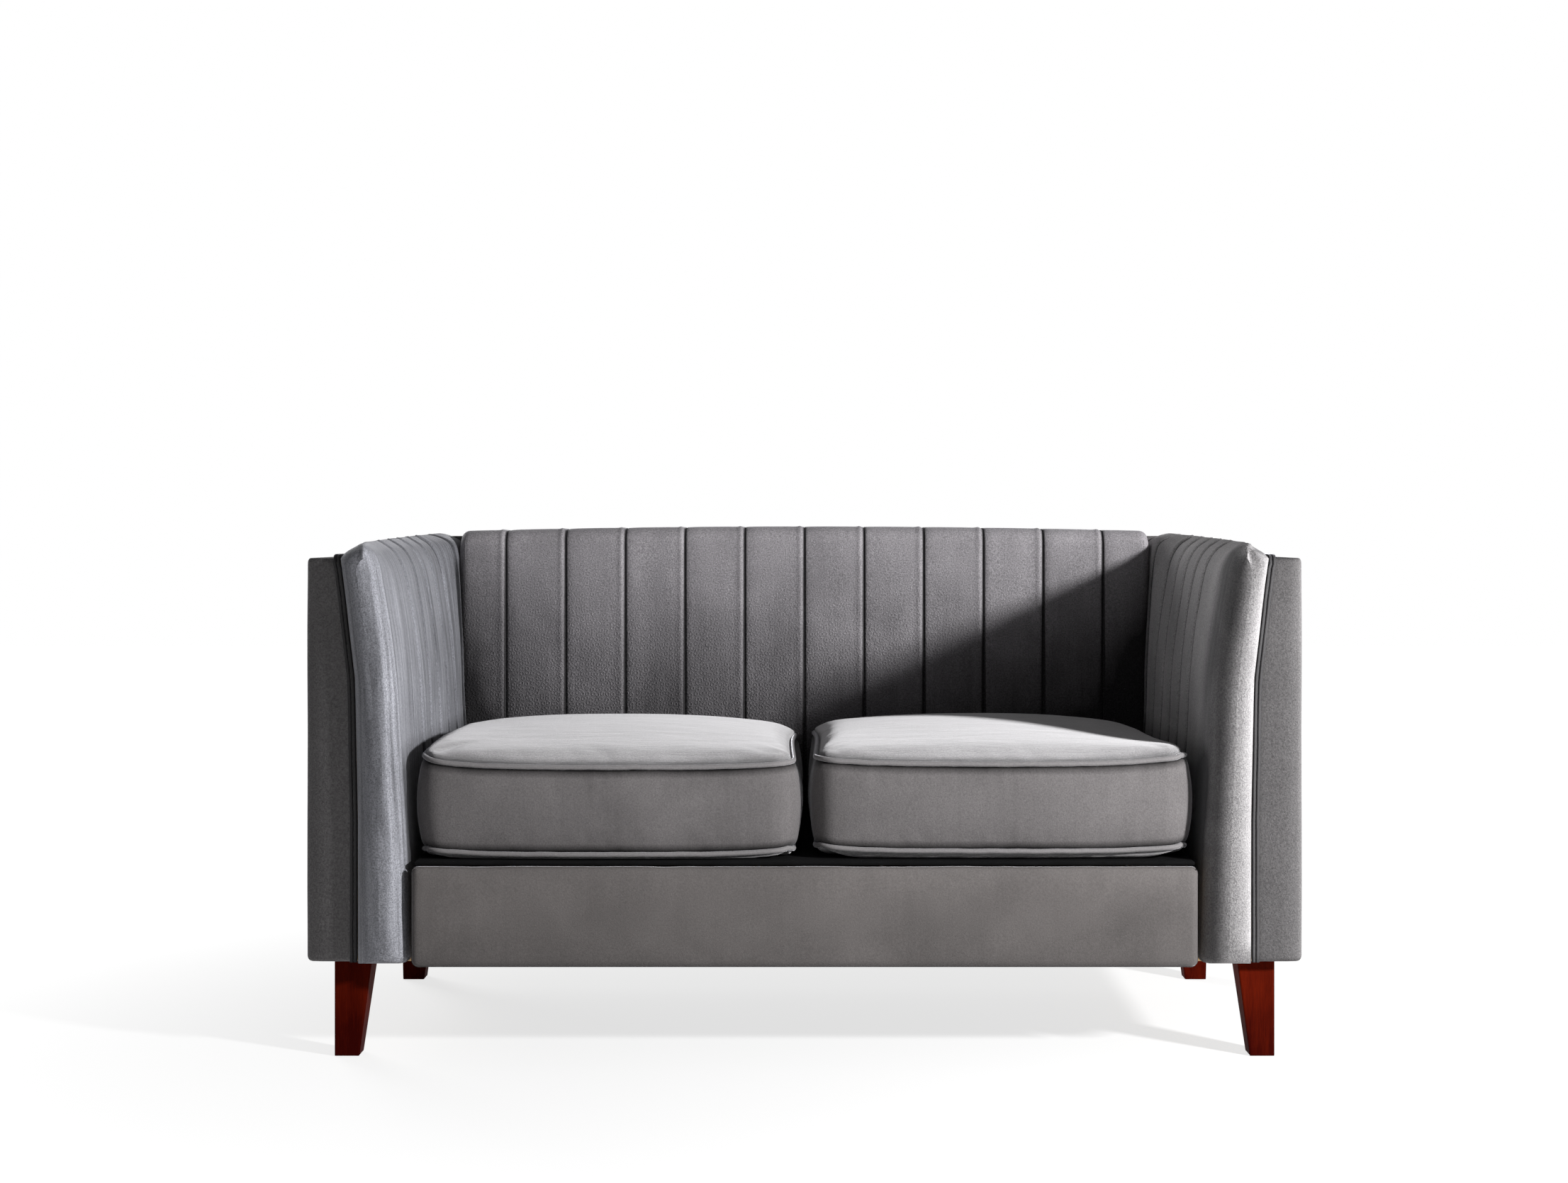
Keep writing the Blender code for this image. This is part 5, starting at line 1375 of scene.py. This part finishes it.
def cover_start(side, lowered, cell):
    """Points, faces, cloth coordinates, pinned points and welt paths of one cover."""
    count_x, count_y = (round(2 * half / cell) for half in CUSHION_HALF)
    u, v = np.meshgrid(np.linspace(-1, 1, count_x + 1), np.linspace(-1, 1, count_y + 1), indexing="ij")
    plan = cushion_plan(np.stack([u, v], axis=-1))
    reach = np.maximum(np.abs(u), np.abs(v))
    inside = np.minimum((1 - np.abs(u)) * CUSHION_HALF[0], (1 - np.abs(v)) * CUSHION_HALF[1])
    puff = WELT_HALF + (SEAM_PUFF - WELT_HALF) * (1 - np.exp(-inside / PUFF_RUN))
    left_outer = (side * u > 0) & (side < 0)
    steepness = np.where(left_outer, LEFT_OUTER_STEEPNESS, CROWN_STEEPNESS)
    dome = CROWN * (1 - np.abs(u) ** steepness) * (1 - v ** 2)
    top_z = TOP_SEAM + puff + dome + top_seam_rise(side, u, v) - lowered * reach ** 2
    bottom_z = cushion_low.z + 0.001 + (0.004 + bottom_seam_rise(side, u, v)) * reach ** 12
    rim = square_rim(count_x, count_y)
    rim_plan = cushion_plan(rim)
    run = np.roll(rim_plan, -1, axis=0) - np.roll(rim_plan, 1, axis=0)
    out = np.column_stack([run[:, 1], -run[:, 0]])
    out /= np.linalg.norm(out, axis=1, keepdims=True)
    top_rise = top_seam_rise(side, rim[:, 0], rim[:, 1]) - lowered
    low_rise = bottom_seam_rise(side, rim[:, 0], rim[:, 1])
    rows = [(0, -WELT_DEPTH)]
    rows += [(share, None) for share in np.linspace(WELT_HALF, TOP_SEAM - LOW_SEAM - WELT_HALF, BORDER_ROWS)]
    rows += [(TOP_SEAM - LOW_SEAM, -WELT_DEPTH)]
    inner = np.clip(-side * rim[:, 0], 0, 1) * (side > 0)
    swell = BOX_BULGE * (1 - inner * (1 - INNER_BULGE_SHARE))
    border = []
    for height, depth in rows:
        share = height / (TOP_SEAM - LOW_SEAM)
        outwards = depth if depth is not None else swell * 4 * share * (1 - share)
        z = LOW_SEAM + height + top_rise * share + low_rise * (1 - share)
        border.append(np.column_stack([rim_plan + out * np.reshape(outwards, (-1, 1)), z]))
    flat = [np.dstack([plan, bottom_z]).reshape(-1, 3), np.dstack([plan, top_z]).reshape(-1, 3)]
    points = np.concatenate(flat + border)
    size = u.size
    grid = np.arange(size).reshape(u.shape)
    ring = np.concatenate([grid[:-1, 0], grid[-1, :-1], grid[1:, -1][::-1], grid[0, 1:][::-1]])
    rings = [ring] + [2 * size + len(ring) * row + np.arange(len(ring)) for row in range(len(rows))]
    rings.append(ring + size)
    faces = grid_faces(grid) + grid_faces(grid + size) + grid_faces(np.array(rings), wrap=True)
    around = np.cumsum(np.linalg.norm(np.diff(rim_plan, axis=0, prepend=rim_plan[:1]), axis=1))
    cloth = [plan.reshape(-1, 2), plan.reshape(-1, 2)]
    cloth += [np.column_stack([around, part[:, 2]]) for part in border]
    pinned = np.concatenate([rings[1], rings[-2]])
    # deep is 1 in the seam rows and less in the rows beside them. The velvet reads it as painted shade in
    # the valleys beside the welts, and the wrinkles keep clear of it.
    deep = np.zeros(len(points))
    deep[pinned] = 1
    deep[np.concatenate([rings[0], rings[-1]])] = SEAM_ROW_SHADE
    deep[np.concatenate([rings[2], rings[-3]])] = BESIDE_SEAM_SHADE
    return points, faces, np.concatenate(cloth), pinned, (border[0], border[-1]), 2 * size, deep


# %% Fill a cover by simulation
FRAMES = 20
PRESSURE = 1.6
MOVE_CAP = 0.008
SPARE_CLOTH = 0.003
EVENING_ROUNDS = 14
REAR_EVEN_RUN = 0.12


def evened(moves, faces, pinned):
    """Average each point's move with its neighbours', with the seams held still."""
    starts = np.array(faces)
    ends = np.roll(starts, -1, axis=1)
    joined = np.concatenate([starts.ravel(), ends.ravel()])
    others = np.concatenate([ends.ravel(), starts.ravel()])
    count = np.bincount(joined, minlength=len(moves))[:, None]
    for _ in range(EVENING_ROUNDS):
        total = np.stack([np.bincount(joined, moves[others, axis], len(moves)) for axis in range(3)], axis=1)
        moves = (moves + total / count) / 2
        moves[pinned] = 0
    return moves


def fill_cover(name, points, faces, pinned):
    """Swell a cover by air pressure, with its seams pinned and its moves capped."""
    mesh = bpy.data.meshes.new(name)
    mesh.from_pydata(points.tolist(), [], faces)
    mesh.update()
    shape = bmesh.new()
    shape.from_mesh(mesh)
    face_outwards(shape)
    shape.to_mesh(mesh)
    shape.free()
    cover = bpy.data.objects.new(name, mesh)
    bpy.context.scene.collection.objects.link(cover)
    cover.vertex_groups.new(name="pins").add(pinned.tolist(), 1.0, "REPLACE")
    modifier = cover.modifiers.new("fill", "CLOTH")
    settings = modifier.settings
    settings.quality = 5
    settings.mass = 0.3
    settings.tension_stiffness = 18
    settings.compression_stiffness = 18
    settings.shear_stiffness = 6
    settings.bending_stiffness = 0.6
    settings.shrink_min = -SPARE_CLOTH
    settings.use_pressure = True
    settings.uniform_pressure_force = PRESSURE
    settings.effector_weights.gravity = 0
    settings.vertex_group_mass = "pins"
    modifier.collision_settings.use_collision = False
    modifier.point_cache.frame_start = 1
    modifier.point_cache.frame_end = FRAMES
    scene = bpy.context.scene
    for step in range(1, FRAMES + 1):
        scene.frame_set(step)
    view = bpy.context.evaluated_depsgraph_get()
    swollen = cover.evaluated_get(view).data
    after = np.zeros(len(swollen.vertices) * 3)
    swollen.vertices.foreach_get("co", after)
    scene.frame_set(1)
    bpy.data.objects.remove(cover)
    move = after.reshape(-1, 3) - points
    length = np.linalg.norm(move, axis=1, keepdims=True)
    move = move * np.minimum(1, MOVE_CAP / np.maximum(length, 1e-9))
    rear = np.clip(points[:, 1:2] / REAR_EVEN_RUN, 0, 1)
    return points + move * (1 - rear) + evened(move, faces, pinned) * rear


# %% Build the cushions
WELT_RADIUS = 0.0038
WELT_PROUD = 0.0048
WELT_POINTS = 420
WELT_SIDES = 12
TOP_SEAM_LOWERED = {"left": 0.002, "right": -0.003}
WRINKLE_HEIGHT = 0.0008
CORNER_WRINKLE_HEIGHT = 0.0022
zip_low, zip_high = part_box("cushion_zip_right")


def even_loop(path, count):
    return even_spacing(np.concatenate([path, path[:1]]), count + 1)[:-1]


def edge_wrinkles(points, seed):
    """Small wrinkles square to the seams, strongest at the cushion's corners."""
    across = np.abs(points[:, :2]) / CUSHION_HALF
    corner = np.clip((across.min(axis=1) - 0.45) / 0.5, 0, 1) * (points[:, 1] < 0)
    around = np.arctan2(points[:, 1], points[:, 0]) * 0.4
    from_edge = np.min((1.0 - across).clip(0) * CUSHION_HALF, axis=1)
    to_seam = np.minimum(np.abs(points[:, 2] - TOP_SEAM - 0.01), np.abs(points[:, 2] - LOW_SEAM))
    near = np.exp(-np.minimum(from_edge / 0.03, 2) - to_seam / 0.02)
    folds = wobble(np.column_stack([around, points[:, 2] * 0.2, around * 0]), 0.011, seed)
    return folds * near * (WRINKLE_HEIGHT + CORNER_WRINKLE_HEIGHT * corner)


def make_cushion(word, side):
    lowered = TOP_SEAM_LOWERED[word]
    points, faces, cloth, pinned, seams, border_start, deep = cover_start(side, lowered, CELL)
    points = fill_cover(f"cushion_fill_{word}", points, faces, pinned)
    inside = np.arange(len(points)) < border_start
    way = points * (1, 1, 0) / np.maximum(np.linalg.norm(points[:, :2], axis=1, keepdims=True), 1e-6)
    way[inside] = (0, 0, 1)
    free = 1 - np.clip(deep, 0, 1)
    points += way * (edge_wrinkles(points, 83 + side) * free)[:, None]
    points[:, 2] = np.maximum(points[:, 2], cushion_low.z)
    points[:, 1] = np.minimum(points[:, 1], zip_low.y - 0.0004 - CUSHION_MIDDLE_Y)
    middle = np.array([side * CUSHION_MIDDLE_X, CUSHION_MIDDLE_Y, 0])
    name = f"cushion_velvet_{word}"
    mesh = make_mesh(name, points + middle, faces, cloth, deep)
    mesh.materials.append(SEAT_VELVET)
    mesh.materials.append(BORDER_VELVET)
    on_border = [min(face) >= border_start for face in faces]
    mesh.polygons.foreach_set("material_index", np.array(on_border, np.int32))
    mesh = tidy_mesh(mesh)
    mesh = apply_modifiers(mesh, ("SUBSURF", {"levels": 1, "render_levels": 1}))
    body = f"seat_cushion_{word}"
    cover = add_piece(name, mesh, None, body, (f"cushion_cover_{word}",))
    for seam, level in zip(seams, ("bottom", "top")):
        run = np.roll(seam, -1, axis=0) - np.roll(seam, 1, axis=0)
        out = np.column_stack([run[:, 1], -run[:, 0], run[:, 0] * 0])
        out /= np.linalg.norm(out, axis=1, keepdims=True)
        path = seam + out * WELT_PROUD + middle
        path += wobble(path, 0.025, 61)[:, None] * (0.0, 0.0, 0.0007)
        cord_name = f"cushion_welt_{level}_velvet_{word}"
        loop = even_loop(path, WELT_POINTS)
        cord = make_cords(cord_name, [loop], WELT_TREE, WELT_RADIUS, WELT_SIDES, closed=True)
        add_piece(cord_name, cord, WELT_VELVET, body, (f"cushion_welt_{level}_{word}",))
    return cover


for word, side in SIDES.items():
    cushion = make_cushion(word, side)
    print(cushion.name, len(cushion.data.polygons), "faces")

# %% [markdown]
# ## Zip, staples and stitches
# Teeth, staples and stitches are small things that repeat along a line. One Geometry Nodes
# tree places them: it walks along each path at an even pitch and sets down a small body
# that points along the path. The zip is a woven tape with two rows of teeth, in the rear
# border of each cushion. Its slider is in the model and runs just behind the tape.

# %% Make the tree that repeats things
def repeat_tree(name, material, round_ends):
    """Geometry Nodes that set small bodies along the edges of a mesh."""
    tree = bpy.data.node_groups.new(name, "GeometryNodeTree")
    tree.interface.new_socket("Paths", in_out="INPUT", socket_type="NodeSocketGeometry")
    pitch = tree.interface.new_socket("Pitch", in_out="INPUT", socket_type="NodeSocketFloat")
    size = tree.interface.new_socket("Body size", in_out="INPUT", socket_type="NodeSocketVector")
    tree.interface.new_socket("Bodies", in_out="OUTPUT", socket_type="NodeSocketGeometry")
    wire = Wire(tree)
    paths = wire.node("NodeGroupInput", output=0)
    step = wire.node("NodeGroupInput", output=1)
    body_size = wire.node("NodeGroupInput", output=2)
    curve = wire.node("GeometryNodeMeshToCurve", inputs={"Mesh": paths})
    spaced = wire.node("GeometryNodeResampleCurve", {"mode": "LENGTH"}, {"Curve": curve, "Length": step})
    way = wire.node("GeometryNodeInputTangent")
    turned = wire.node("FunctionNodeAlignRotationToVector", {"axis": "X"}, {"Vector": way})
    if round_ends:
        body = wire.node("GeometryNodeMeshUVSphere", inputs={"Segments": 6, "Rings": 5, "Radius": 0.5})
    else:
        body = wire.node("GeometryNodeMeshCube", inputs={"Size": (1, 1, 1)})
    placed = wire.node(
        "GeometryNodeInstanceOnPoints",
        inputs={"Points": spaced, "Instance": body, "Rotation": turned, "Scale": body_size},
    )
    real = wire.node("GeometryNodeRealizeInstances", inputs={"Geometry": placed})
    done = wire.node("GeometryNodeSetMaterial", inputs={"Geometry": real, "Material": material})
    wire.node("NodeGroupOutput", inputs={0: done})
    return tree, pitch.identifier, size.identifier


def make_repeats(name, paths, tree_parts, pitch, size):
    """Set one small body at each step of each path and return the plain mesh."""
    tree, pitch_input, size_input = tree_parts
    points, edges = [], []
    for path in paths:
        edges += [(len(points) + i, len(points) + i + 1) for i in range(len(path) - 1)]
        points += [tuple(point) for point in path]
    return from_nodes(name, points, edges, tree, {pitch_input: pitch, size_input: size})


STITCH_TREE = repeat_tree("stitches", WELT_VELVET, round_ends=True)
TOOTH_TREE = repeat_tree("zip_teeth", ZIP_STEEL, round_ends=False)
STAPLE_TREE = repeat_tree("staples", SPRING_STEEL, round_ends=False)

# %% Build the zips
TAPE_GROOVE = 0.0005
TOOTH_PITCH = 0.0030
TOOTH_SIZE = (0.0016, 0.0009, 0.0030)
STITCH_PITCH = 0.0042
STITCH_SIZE = (0.0034, 0.0008, 0.0009)
TEETH_INSET = 0.006


def make_zip(word, side):
    low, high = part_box(f"cushion_zip_{word}")
    middle_z = (low.z + high.z) / 2
    tape_front, tape_back = low.y - 0.0003, high.y - 0.0010

    def shape(points):
        groove = np.exp(-(((points[:, 2] - middle_z) / 0.0012) ** 2))
        outer = points[:, 1] > (tape_front + tape_back) / 2
        waves = wobble(points * (1, 0, 1), 0.03, 89) * 0.0002
        points[:, 1] += np.where(outer, waves - TAPE_GROOVE * groove, 0)
        return points

    points, faces, cloth = block_skin(
        (low.x, tape_front, low.z), (high.x, tape_back, high.z), 0.0006, 0.0025, (), shape
    )
    name = f"zip_tape_{word}"
    tape = tidy_mesh(make_mesh(name, points, faces, cloth))
    body = f"seat_cushion_{word}"
    add_piece(name, tape, ZIP_CLOTH, body, (f"cushion_zip_{word}",))
    rows = []
    for level in (-1, 1):
        start = low.x + TEETH_INSET + (level + 1) * TOOTH_PITCH / 4
        row_z = middle_z + level * 0.0009
        rows.append([(start, tape_back + 0.0001, row_z), (high.x - TEETH_INSET, tape_back + 0.0001, row_z)])
    teeth = make_repeats(f"zip_teeth_{word}", rows, TOOTH_TREE, TOOTH_PITCH, TOOTH_SIZE)
    add_piece(f"zip_teeth_{word}", teeth, ZIP_STEEL, body)
    lines = []
    for level in (low.z - 0.0022, high.z + 0.0022):
        lines.append([(low.x, tape_front + 0.0001, level), (high.x, tape_front + 0.0001, level)])
    stitches = make_repeats(f"zip_stitches_{word}", lines, STITCH_TREE, STITCH_PITCH, STITCH_SIZE)
    add_piece(f"zip_stitches_{word}", stitches, WELT_VELVET, body)
    return len(teeth.polygons) + len(stitches.polygons)


for word, side in SIDES.items():
    print("zip", word, make_zip(word, side), "faces of teeth and stitches")

# %% Stitch the ends of the back
END_SEAM_INSET = 0.011
END_SEAM_LOW = 0.728
END_SEAM_HIGH = 0.762
END_SEAM_SINK = 0.0006

end_lines = []
for side in (-1, 1):
    place_x = side * (back_high.x - END_SEAM_INSET)
    end_lines.append([(place_x, back_low.y + END_SEAM_SINK, z) for z in (END_SEAM_LOW, END_SEAM_HIGH)])
end_stitches = make_repeats("back_end_stitches", end_lines, STITCH_TREE, STITCH_PITCH, STITCH_SIZE)
add_piece("back_end_stitches", end_stitches, WELT_VELVET, "frame")
print("end stitches:", len(end_stitches.polygons), "faces")

# %% [markdown]
# ## Legs
# The legs are square posts that taper on their two inner faces. The model's leg has the
# right shape, so a copy of its mesh is merged into plain faces, and its edges get a small
# chamfer, as a plane would leave.

# %% Build the legs
LEG_CHAMFER = 0.0014
FLAT_ANGLE = math.radians(1)
SHARP_ANGLE = math.radians(30)
SMOOTH_FACE_AREA = 0.0005
LEG_WORDS = [f"leg_{end}_{word}" for end in ("front", "rear") for word in SIDES]

for node in LEG_WORDS:
    leg = bmesh.new()
    leg.from_mesh(bpy.data.objects[node].data)
    bmesh.ops.remove_doubles(leg, verts=leg.verts, dist=WELD)
    bmesh.ops.dissolve_limit(leg, angle_limit=FLAT_ANGLE, verts=leg.verts, edges=leg.edges)
    sharp = [edge for edge in leg.edges if edge.calc_face_angle(0) > SHARP_ANGLE]
    bmesh.ops.bevel(leg, geom=sharp, offset=LEG_CHAMFER, segments=3, profile=0.6, affect="EDGES")
    face_outwards(leg)
    for face in leg.faces:
        face.smooth = face.calc_area() < SMOOTH_FACE_AREA
    mesh = bpy.data.meshes.new(f"{node}_stained")
    leg.to_mesh(mesh)
    leg.free()
    add_piece(f"{node}_stained", mesh, LEG_WOOD, "frame", (node,))
print(len(LEG_WORDS), "legs")

# %% [markdown]
# ## Seat deck, dust cover and foam
# Under the cushions a black cloth is stretched over felt and springs. Under the whole seat
# another black cloth keeps dust out, and it is stapled to the rails. Inside each cushion
# is a block of foam of the cover's own shape, a little smaller.

# %% Build the deck and the dust cover
DECK_REACH = Vector((0.003, 0, 0))
DECK_ROUND = 0.0015
DECK_STEP = 0.03


def make_deck():
    low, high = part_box("seat_deck")
    low, high = low - DECK_REACH, high + DECK_REACH

    def shape(points):
        top = points[:, 2] > (low.z + high.z) / 2
        points[:, 2] += np.where(top, wobble(points, 0.09, 71) * 0.0004 - 0.0004, 0)
        return points

    points, faces, cloth = block_skin(tuple(low), tuple(high), DECK_ROUND, DECK_STEP, (), shape)
    mesh = tidy_mesh(make_mesh("deck_felt_and_cloth", points, faces, cloth))
    nodes = ("seat_deck",)
    return add_piece("deck_felt_and_cloth", mesh, DECK_CLOTH, "frame", nodes)


def make_dust_cover():
    low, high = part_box("dust_cover")
    x, y = np.meshgrid(np.linspace(low.x, high.x, 61), np.linspace(low.y, high.y, 41), indexing="ij")
    u, v = x / high.x, (y - (low.y + high.y) / 2) / ((high.y - low.y) / 2)
    middle = (1 - u ** 4) * (1 - v ** 4)
    waves = wobble(np.dstack([x, y, x * 0]), 0.05, 73).reshape(x.shape) * 0.0006 * middle
    z = high.z - 0.0003 - 0.0016 * middle + waves
    index = np.arange(x.size).reshape(x.shape)
    points = np.dstack([x, y, z]).reshape(-1, 3)
    mesh = tidy_mesh(make_mesh("dust_cloth_sheet", points, grid_faces(index), np.dstack([x, y])))
    sheet = add_piece("dust_cloth_sheet", mesh, DUST_CLOTH, "frame", ("dust_cover",))
    return sheet


deck = make_deck()
dust_sheet = make_dust_cover()
print(deck.name, dust_sheet.name)

# %% Staple the dust cover
STAPLE_INSET = 0.008
STAPLE_PITCH = 0.042
STAPLE_SIZE = (0.011, 0.0012, 0.0007)
STAPLE_CORNER_GAP = 0.03

dust_low, dust_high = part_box("dust_cover")
near, far = dust_low.y + STAPLE_INSET, dust_high.y - STAPLE_INSET
end = dust_high.x - STAPLE_INSET
level = dust_high.z - 0.0004
side_near, side_far = near + STAPLE_CORNER_GAP, far - STAPLE_CORNER_GAP
staple_lines = [[(-end, y, level), (end, y, level)] for y in (near, far)]
staple_lines += [[(x, side_near, level), (x, side_far, level)] for x in (-end, end)]
staples = make_repeats("dust_cover_staples", staple_lines, STAPLE_TREE, STAPLE_PITCH, STAPLE_SIZE)
add_piece("dust_cover_staples", staples, SPRING_STEEL, "frame")
print("staples:", len(staples.polygons) // 6)

# %% Build the foam
FOAM_CELL = 0.016
FOAM_SHARE = 0.955
FOAM_HEIGHT_SHARE = 0.90


def make_foam(word, side):
    """The cover's own shape, a little smaller, with the dimples of cut foam."""
    points, faces, cloth = cover_start(side, 0, FOAM_CELL)[:3]
    points[:, :2] *= FOAM_SHARE
    middle_z = (LOW_SEAM + TOP_SEAM) / 2
    points[:, 2] = middle_z + (points[:, 2] - middle_z) * FOAM_HEIGHT_SHARE
    points += wobble(points, 0.02, 79)[:, None] * 0.0004
    points += (side * CUSHION_MIDDLE_X, CUSHION_MIDDLE_Y, 0)
    name = f"foam_block_{word}"
    mesh = tidy_mesh(make_mesh(name, points, faces, cloth))
    return add_piece(name, mesh, FOAM_FINISH, f"seat_cushion_{word}", (f"cushion_foam_{word}",))


for word, side in SIDES.items():
    print(make_foam(word, side).name)

# %% [markdown]
# ## The hidden frame
# The timbers, springs, bolts and zip sliders of the model already have their true shape, so
# they stay and only get their finishes. A board's grain runs along its length, so each
# timber takes the wood whose grain runs its way.

# %% Finish the parts of the frame
ALONG_X = ("front_rail", "rear_rail", "back_top_rail", "back_bottom_rail", "back_board")
ALONG_Y_WORDS = ("rail", "board")
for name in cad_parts:
    thing = bpy.data.objects[name]
    if name.startswith("leg_bolt") or name.startswith("spring"):
        finish = SPRING_STEEL
    elif name.startswith("zip_slider"):
        finish = ZIP_STEEL
    elif name in ALONG_X:
        finish = FRAME_ALONG_X
    elif "post" in name:
        finish = FRAME_ALONG_Z
    elif any(word in name for word in ALONG_Y_WORDS):
        finish = FRAME_ALONG_Y
    else:
        continue
    for slot in thing.material_slots:
        slot.material = finish
print("frame finished")
